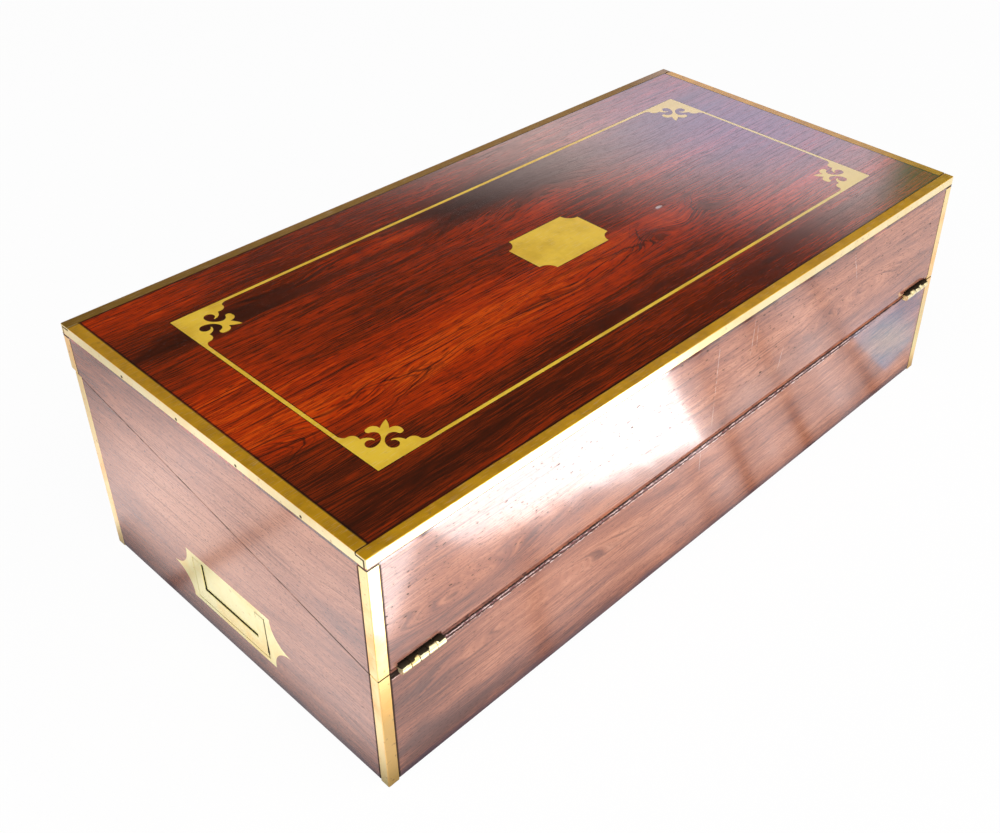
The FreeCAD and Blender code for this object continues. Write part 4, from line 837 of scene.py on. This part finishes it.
low_leather = tooled_leather("leather_base", -100.8, 42.4)
high_leather = tooled_leather("leather_lid", -100.8, 83.6)
print("leather:", len(low_leather.node_tree.nodes), "nodes")

# %% [markdown]
# ## Baize and glass
#
# The underside is faced with blue-black baize, so that the box doesn't scratch a table: a short
# wool nap, which a little sheen lightens at its edges.  The inkwells are thick pressed glass, with
# slow ripples in its surface and a green cast.

# %% Baize and glass
def baize(name):
    """Blue-black wool cloth: a short nap with tiny tufts."""
    finish, (x, y, z) = start_finish(name)
    tufts = noise(x / 0.6, y / 0.6, z / 0.6, 3.0, 0.7)
    wool = tufts.blend((0.010, 0.012, 0.024), (0.045, 0.050, 0.085))
    return end_finish(finish, wool, 0.95, tufts, 0.15, Sheen_Weight=0.4)


def well_glass(name):
    """Thick pressed glass with a green cast."""
    finish, (x, y, z) = start_finish(name)
    ripples = noise(x / 9, y / 9, z / 9, 1.0)
    return end_finish(finish, (0.86, 0.95, 0.91), 0.03, ripples, 0.10,
                      Transmission_Weight=1.0, IOR=1.5)


cloth = baize("baize")
glass = well_glass("inkwell_glass")
print("baize and glass made")

# %% [markdown]
# ## Giving each node its finish
#
# Each CAD node has one material slot.  The table below says which finish goes where; every node
# must be named once, so a new node can't stay grey unseen.

# %% Finishes of the nodes
STRIPS = ["lid_edge_brass_hinge_side", "lid_edge_brass_lock_side", "lid_edge_brass_left",
          "lid_edge_brass_right"]
CORNERS = ["base_corner_brass_hinge_side", "base_corner_brass_lock_side",
           "lid_corner_brass_hinge_side", "lid_corner_brass_lock_side"]
BAILS = ["left_handle_bail", "right_handle_bail"]
PLATES = ["left_handle_plate", "right_handle_plate"]
LEAVES = ["hinge_base_leaves", "hinge_lid_leaves"]
INLAY = ["top_stringing", "top_spandrels", "top_plaque"]
FINISHES = {
    top_finish: ["lid_top_panel"],
    lid_finish: ["lid_hinge_side_board", "lid_lock_side_board", "lid_left_end", "lid_right_end"],
    case_finish: ["base_hinge_side_board", "base_lock_side_board", "base_left_end",
                  "base_right_end"],
    drawer_finish: ["drawer_front"],
    strip_finish: STRIPS,
    hinge_finish: [*LEAVES, "hinge_pins"],
    corner_finish: [*CORNERS, "escutcheon"],
    handle_finish: [*PLATES, *BAILS, "left_handle_fixings", "right_handle_fixings"],
    inlay_finish: INLAY,
    lock_finish: ["lock_case", "lock_bolt", "lock_link_plate", "base_screws", "lid_screws",
                  "base_flap_hinges", "lid_flap_hinges", "flap_catch", "flap_catch_screw",
                  "inkwell_collars", "inkwell_caps"],
    long_wood: ["bottom_board", "drawer_ceiling", "pen_divider", "pen_tray", "base_flap_board",
                "lid_flap_board", "lid_flap_rail", "drawer_sides", "drawer_bottom"],
    cross_wood: ["inkwell_partitions", "tray_ledges", "base_flap_ledges", "lid_flap_ledges",
                 "drawer_back"],
    low_leather: ["base_flap_leather"],
    high_leather: ["lid_flap_leather"],
    cloth: ["underside_baize"],
    glass: ["inkwell_glasses"],
}
dressed = [name for names in FINISHES.values() for name in names]
assert sorted(dressed) == sorted(nodes), set(nodes) ^ set(dressed)
for finish, names in FINISHES.items():
    for name in names:
        for material_slot in nodes[name].material_slots:
            material_slot.material = finish
print(len(dressed), "nodes dressed")

# %% [markdown]
# ## Worn edges
#
# A sharp edge catches no light, and no old brass is sharp.  The meshes come as loose triangles, so
# each brass node gets three modifiers: Weld joins the triangles, Decimate dissolves the flat ones
# into whole faces, and Bevel rounds what is left.  The grooves that this makes beside the wood are
# the thin dark lines that a real inlay shows.

# %% Rounded brass
ROUNDINGS = {0.55: STRIPS + CORNERS, 0.40: BAILS + LEAVES, 0.25: [*PLATES, "escutcheon"],
             0.12: INLAY}


def round_edges(piece, width_mm):
    """Weld, dissolve and bevel a piece by modifiers."""
    weld = piece.modifiers.new("weld", "WELD")
    weld.merge_threshold = 1e-6
    flat = piece.modifiers.new("flat", "DECIMATE")
    flat.decimate_type = "DISSOLVE"
    flat.angle_limit = np.radians(1.0)
    bevel = piece.modifiers.new("bevel", "BEVEL")
    bevel.width = width_mm / MM_IN_METRE
    bevel.segments = 3
    bevel.limit_method = "ANGLE"
    bevel.angle_limit = np.radians(35.0)
    bevel.use_clamp_overlap = True
    bevel.harden_normals = True


for width_mm, names in ROUNDINGS.items():
    for name in names:
        round_edges(nodes[name], width_mm)
print("rounded", sum(map(len, ROUNDINGS.values())), "brass nodes")

# %% [markdown]
# ## Turned and rounded pieces
#
# A few pieces are easier to work out as surfaces than to model by hand.  Each is a stack of closed
# loops of points: `stack_piece` joins every loop to the next, and closes the first and the last
# with one face, so the piece has no holes.  It then rides on the body that carries it.

# %% Stack of loops
def stack_piece(name, loops, finish, body):
    """A closed mesh from an array of loops x points x 3, in metres; each loop joins the next."""
    count, around = loops.shape[:2]
    rows = np.arange(count - 1)[:, None] * around
    here = rows + np.arange(around)[None, :]
    ahead = rows + (np.arange(around) + 1)[None, :] % around
    walls = np.stack((here, ahead, ahead + around, here + around), axis=-1).reshape(-1, 4)
    first = tuple(range(around))[::-1]
    last = tuple(range((count - 1) * around, count * around))
    mesh = bpy.data.meshes.new(name)
    mesh.from_pydata(loops.reshape(-1, 3).tolist(), [], walls.tolist() + [first, last])
    mesh.polygons.foreach_set("use_smooth", [True] * len(walls) + [False, False])
    mesh.materials.append(finish)
    mesh.validate()
    piece = bpy.data.objects.new(name, mesh)
    scene.collection.objects.link(piece)
    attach(piece, body)
    return piece


print("loops are joined into closed pieces")

# %% [markdown]
# ## The pad inside a flush handle
#
# Inside its square bail a flush handle is filled by a pad that stands on the floor of the pan and
# ends just under the face of the plate.  Around it only a narrow dark gap shows.  It is a rounded
# rectangle carried outwards from the pan's floor; near the face each next loop is drawn in along a
# quarter of a circle, and then towards the middle, which leaves it slightly crowned.

# %% Handle pads
PAD_MIDDLE = 0.5
PAD_HALF_LENGTH = 24.35
PAD_FOOT = 30.05
PAD_HEAD = 50.1
PAD_FACE = 253.15
PAD_ROUND = 0.5
PAD_CROWN = 0.15
PAN_FLOOR = ((29.7, 250.9), (50.5, 248.0))


def rounded_rectangle(half_length, half_height, radius, around):
    """Loop of points: a circle of the radius, its quarters pushed apart by the straight sides."""
    angle = (np.arange(around) + 0.5) / around * 2 * np.pi
    return (np.sign(np.cos(angle)) * (half_length - radius) + radius * np.cos(angle),
            np.sign(np.sin(angle)) * (half_height - radius) + radius * np.sin(angle))


def handle_pad(name, body, side):
    """Loops from the pan's floor out to the face; side is -1 at the left end and 1 at the right."""
    middle_y, middle_z = -PAD_MIDDLE * side, (PAD_FOOT + PAD_HEAD) / 2
    half_height = (PAD_HEAD - PAD_FOOT) / 2
    turn = np.linspace(0, np.pi / 2, 6)
    drawn_in = np.concatenate(([0.0], PAD_ROUND * (1 - np.cos(turn)), np.linspace(1.2, 9.0, 6)))
    out = np.concatenate(([np.nan], PAD_FACE - PAD_ROUND + PAD_ROUND * np.sin(turn),
                          PAD_FACE + PAD_CROWN * np.linspace(0.2, 1.0, 6)))
    rows = [rounded_rectangle(PAD_HALF_LENGTH - inset, half_height - inset,
                              max(1.0 - inset, 0.1), 48) for inset in drawn_in]
    y = np.array([row[0] for row in rows]) + middle_y
    z = np.array([row[1] for row in rows]) + middle_z
    (floor_z, floor_x), (far_z, far_x) = PAN_FLOOR
    on_floor = floor_x + (z - floor_z) * (far_x - floor_x) / (far_z - floor_z)
    x = np.where(np.isnan(out)[:, None], on_floor, out[:, None])
    loops = np.stack((side * x, y, z), axis=-1) / MM_IN_METRE
    return stack_piece(name, loops if side > 0 else loops[:, ::-1], pad_finish, body)


pads = [handle_pad("left_handle_pad", "base", -1), handle_pad("right_handle_pad", "drawer", 1)]
print("pads of", [len(pad.data.vertices) for pad in pads], "points")

# %% [markdown]
# ## Inkwell caps
#
# Each glass well is closed by a turned brass cap with a milled edge, for a dry grip.  Turning is a
# profile carried round an axis: the radius and the height go from the rim of the cap, over its
# shoulder and a bead, to the middle.  The milling makes the radius of the edge rise and fall many
# times in one turn.

# %% Inkwell caps
CAP_PROFILE = [(14.6, 0.0, 0.0), (15.2, 0.3, 1.0), (15.2, 2.2, 1.0), (14.5, 2.7, 0.0),
               (12.4, 2.9, 0.0), (11.8, 3.5, 0.0), (10.9, 3.7, 0.0), (10.2, 3.2, 0.0),
               (6.0, 3.5, 0.0), (1.0, 3.8, 0.0)]
MILLINGS = 60
MILLING_DEPTH = 0.22


def turned_cap(centre, low):
    """Loops of a cap: radius = profile + 0.22 mm x milling x cosine of the turn times 60."""
    radius, height, milled = (np.array(column)[:, None] for column in zip(*CAP_PROFILE))
    turn = np.arange(MILLINGS * 4)[None, :] / (MILLINGS * 4) * 2 * np.pi
    radius = radius + MILLING_DEPTH * milled * np.cos(MILLINGS * turn)
    return np.stack((centre[0] + radius * np.cos(turn), centre[1] + radius * np.sin(turn),
                     low + height + 0 * turn), axis=-1) / MM_IN_METRE


caps_low, caps_high = (np.array(corner) * MM_IN_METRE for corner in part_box("inkwell_caps"))
cap_radius = (caps_high[1] - caps_low[1]) / 2
cap_centres = {"left_inkwell_cap": (caps_low[0] + cap_radius, caps_low[1] + cap_radius),
               "right_inkwell_cap": (caps_high[0] - cap_radius, caps_low[1] + cap_radius)}
for name, centre in cap_centres.items():
    cap = stack_piece(name, turned_cap(centre, caps_low[2]), lock_finish, "base")
    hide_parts("inkwell_caps")
print(f"caps stand from {caps_low[2]:.1f} to {caps_high[2]:.1f} mm, radius {cap_radius:.1f}")

# %% [markdown]
# ## What the polish sees of the floor
#
# The box stands on a pale floor.  To the eye it is plain white with a trace of the box's shadow.
# Polish and brass see more: a floor is never even, and here it has soft dark stripes as of gaps
# between boards, lighter and darker spots near the box, and the dark of the box's own foot.  The
# stripes in front of the hinge side run at a slant, so a sum of x and y says which one a point is
# on.

# %% Level of the floor
GAPS_ACROSS = [(-130, 9, 0.5), (65, 7, 0.80), (130, 8, 0.85), (22, 8, 0.35), (216, 9, 0.65),
               (-60, 30, 0.3), (97, 9, -0.35), (180, 13, -0.5), (44, 8, -0.3)]
GAPS_SLANT = 0.78
GAPS_ALONG = [(71, 8, 0.65), (300, 60, 0.40), (150, 40, -0.35), (-40, 90, -0.34)]
FLOOR_SPOTS = [(-230, -160, 60, 40, -0.40), (-290, 160, 40, 60, 0.10),
               (-264, 130, 11, 34, -0.30)]


def stripes(distance, rows):
    """Sum of soft stripes: each is e to the power -(distance / half width) squared, x depth."""
    total = 0.0
    for place, half_width, depth in rows:
        ratio = (distance - place) / half_width
        total = (0.0 - ratio * ratio).math("EXPONENT") * depth + total
    return total


def floor_level(x, y):
    """Brightness of the floor: about 1, less the stripes, darker near the box, plus the spots."""
    level = 1.0 + wobble(0.5, x / 60, y / 60, 1.0)
    level = level - stripes(x + (y + 142) * GAPS_SLANT, GAPS_ACROSS) * y.rise(-120, -130)
    level = level - stripes(y, GAPS_ALONG) * x.rise(-250, -256)
    off_box = out_of_box(x, y, HALF_LENGTH, HALF_DEPTH)
    level = level * (off_box.rise(-2, 20) * 0.7 + 0.3)
    return (level + patches(x, y, FLOOR_SPOTS)).most(0.05)


print("floor:", len(GAPS_ACROSS) + len(GAPS_ALONG), "stripes and", len(FLOOR_SPOTS), "spots")

# %% [markdown]
# ## Sun and sky on the floor
#
# Two patches of sunlight lie before the hinge side, and a patch of blue skylight near its right
# end.  The polished side mirrors them, which is what makes it look polished.  A patch with straight
# edges is a product: one soft step for each edge, of the distance from that edge.

# %% Light on the floor
SUN = 9.0
SECOND_SUN = 7.0
SUN_TURN = 0.235
SUN_FRONT = -225
SUN_LEFT = -112
SUN_RIGHT = (71, -182)
SUN_END = (-310, -290)
SECOND_FRONT = -203
SECOND_RIGHT = (-125, -252)
SECOND_LEFT = -235
SKY_LEFT = (243, -160)
SKY_NEAR = (233, -139)
SKY_FAR = (-187, -182)


def sunlight(x, y):
    """Two sunny patches: the front, right and left edge of each, and how far both reach out."""
    ragged = wobble(26, x / 16, y / 16, 5.0, 4.0, 0.6)
    front = SUN_FRONT + (x - SUN_LEFT) * SUN_TURN - y + ragged
    right = SUN_RIGHT[0] + (SUN_RIGHT[1] - y) * 0.67 - x
    left = x - SUN_LEFT + (SUN_FRONT - y) * SUN_TURN
    sun = front.rise(-3, 12) * right.rise(-3, 5) * left.rise(-4, 10)
    second_right = SECOND_RIGHT[0] - x - (y - SECOND_RIGHT[1]) * 1.26
    second = (SECOND_FRONT - y).rise(-4, 14) * second_right.rise(-4, 10)
    second = second * (x - SECOND_LEFT).rise(-10, 10)
    return (sun * SUN + second * SECOND_SUN) * y.rise(*SUN_END)


def skylight(x, y):
    """The blue patch and its brightness, which falls to nothing away from its left edge."""
    into_blue = x - SKY_LEFT[0] + (y - SKY_LEFT[1]) * 0.478
    near = (y - SKY_NEAR[1] + (x - SKY_NEAR[0]) * 0.14).rise(1.5, -1.5)
    blue = into_blue.rise(-1, 3) * near * y.rise(*SKY_FAR) * (x + 46 + y * 2.278).rise(1, -4)
    return blue, blue * (0.45 - (into_blue - 40).rise(0, 40) * 0.5)


print(f"sunlight {SUN:.0f} times as bright as the floor")

# %% [markdown]
# ## Floor
#
# One material shows both, because Light Path tells what kind of ray asks.  To the camera and
# through the glass the floor is nearly all white light, with a trace of matt paint that keeps the
# box's shadow.  To the gloss of polish and brass it is the pattern, and for other light it is matt.

# %% Floor
WHITE = (1.0, 1.0, 1.0, 1.0)
WHITE_PART = 0.95
MATT_WHITE = (0.88, 0.88, 0.89, 1.0)
PALE_SKY = (272, -159, 34, 14)
FLOOR_HALF = 6


def floor_finish():
    """Pale matt floor, white to the camera, patterned to the polish."""
    finish, (x, y, z) = start_finish("pale_floor")
    blue, sky = skylight(x, y)
    glow = sky + (sunlight(x, y) + floor_level(x, y))
    sky_blue = patch(x, y, PALE_SKY).blend((0.28, 0.80, 1.25), (0.52, 0.92, 1.00))
    tint = blue.blend((1.0, 0.92, 0.92), sky_blue)
    tree = Shade(finish.node_tree)
    glossy = tree.add("Emission", {}, {"Color": tint, "Strength": glow})
    seen = tree.add("LightPath", output="Is Camera Ray")
    reflected = tree.add("LightPath", output="Is Glossy Ray")
    through = tree.add("LightPath", output="Is Transmission Ray")
    matt = tree.add("BsdfDiffuse", {}, {"Color": MATT_WHITE})
    white = tree.add("Emission", {}, {"Color": WHITE, "Strength": 1.0})
    mixed = tree.add("MixShader", {}, {0: (seen + through) * WHITE_PART, 1: matt, 2: white})
    mixed = tree.add("MixShader", {}, {0: reflected, 1: mixed, 2: glossy})
    mixed.add("OutputMaterial", {}, {"Surface": mixed})
    return finish


def flat_sheet(name, half, finish):
    """A square face on the ground, as a stage piece."""
    mesh = bpy.data.meshes.new(name)
    corners = [(-half, -half, 0), (half, -half, 0), (half, half, 0), (-half, half, 0)]
    mesh.from_pydata(corners, [], [(0, 1, 2, 3)])
    mesh.materials.append(finish)
    sheet = bpy.data.objects.new(name, mesh)
    scene.collection.objects.link(sheet)
    return sheet


flat_sheet("floor", FLOOR_HALF, floor_finish())
print("floor laid,", 2 * FLOOR_HALF, "m wide")

# %% [markdown]
# ## Lamps
#
# Two large soft lamps light the box from the left and the front.  A lamp is turned like the camera:
# the direction from its aim back to the lamp gives the azimuth and the elevation of its view.

# %% Lamps
LAMP_AIM = (0.0, 0.0, 0.08)


def soft_lamp(name, place, size, power):
    """A square area lamp at a place, turned to the middle of the box."""
    light = bpy.data.lights.new(name, "AREA")
    light.size = size
    light.energy = power
    lamp = bpy.data.objects.new(name, light)
    scene.collection.objects.link(lamp)
    back = np.array(place) - np.array(LAMP_AIM)
    azimuth = np.degrees(np.arctan2(back[0], -back[1]))
    elevation = np.degrees(np.arcsin(back[2] / np.linalg.norm(back)))
    place_and_turn(lamp, place, (azimuth, elevation, 0))
    return lamp


soft_lamp("lamp_left", (-1.6, -1.2, 1.9), 3.2, 66.0)
soft_lamp("lamp_front", (0.9, -1.9, 1.5), 2.4, 32.0)
print("two lamps lit")

# %% [markdown]
# ## Room
#
# Behind the lamps the room is dim, with one broad window low in the far corner: it turns the
# far part of the polished top grey.  Beside it lies a strip of green garden.  The window is an area
# of the world between two compass directions and below one height, and the garden one between two
# heights, so neither needs any mesh.  Only the camera sees plain white instead.

# %% Room
WINDOW_TOP = (0.488, 0.425)
TOP_SLOPE = 0.0009
WINDOW_MIDDLE = 44
WINDOW_LEFT = (25.2, 28.0)
WINDOW_RIGHT = (75, 62)
GARDEN_HEIGHTS = ((0.50, 0.44), (0.375, 0.415))
GARDEN_DIRECTIONS = ((28.5, 25.5), (8, 14))
BLUE_PANE = (34, 0.415, 6, 0.03)

world = bpy.data.worlds.new("room")
scene.world = world
world.use_nodes = True
world.node_tree.nodes.clear()
blank = Shade(world.node_tree)
direction = blank.add("TexCoord", output="Generated")
east, north, height = (direction.add("SeparateXYZ", {}, {0: direction}, axis) for axis in range(3))
compass = north.math("ARCTAN2", east) * (180 / np.pi)
tilted = height + (compass - WINDOW_MIDDLE) * TOP_SLOPE
window = tilted.rise(*WINDOW_TOP) * compass.rise(*WINDOW_LEFT) * compass.rise(*WINDOW_RIGHT)
facing_lamps = (0.0 - east - north).rise(-0.6, 0.9)
fading = height.rise(0.385, 0.425).blend((1.22, 1.05, 1.15), (2.10, 1.68, 1.60))
glazing = patch(compass, height, BLUE_PANE).blend(fading, (1.50, 1.40, 1.98))
garden = height.rise(*GARDEN_HEIGHTS[0]) * height.rise(*GARDEN_HEIGHTS[1])
garden = garden * compass.rise(*GARDEN_DIRECTIONS[0]) * compass.rise(*GARDEN_DIRECTIONS[1])
room = facing_lamps.blend((0.030, 0.020, 0.016), (0.55, 0.54, 0.55))
room = window.blend(garden.blend(room, (0.22, 0.50, 0.20)), glazing)
dim = blank.add("Background", {}, {"Color": room, "Strength": 1.0})
white = blank.add("Background", {}, {"Color": WHITE, "Strength": 1.0})
seen = blank.add("LightPath", output="Is Camera Ray")
mixed = blank.add("MixShader", {}, {0: seen, 1: dim, 2: white})
mixed.add("OutputWorld", {}, {"Surface": mixed})
print("room:", len(world.node_tree.nodes), "nodes")
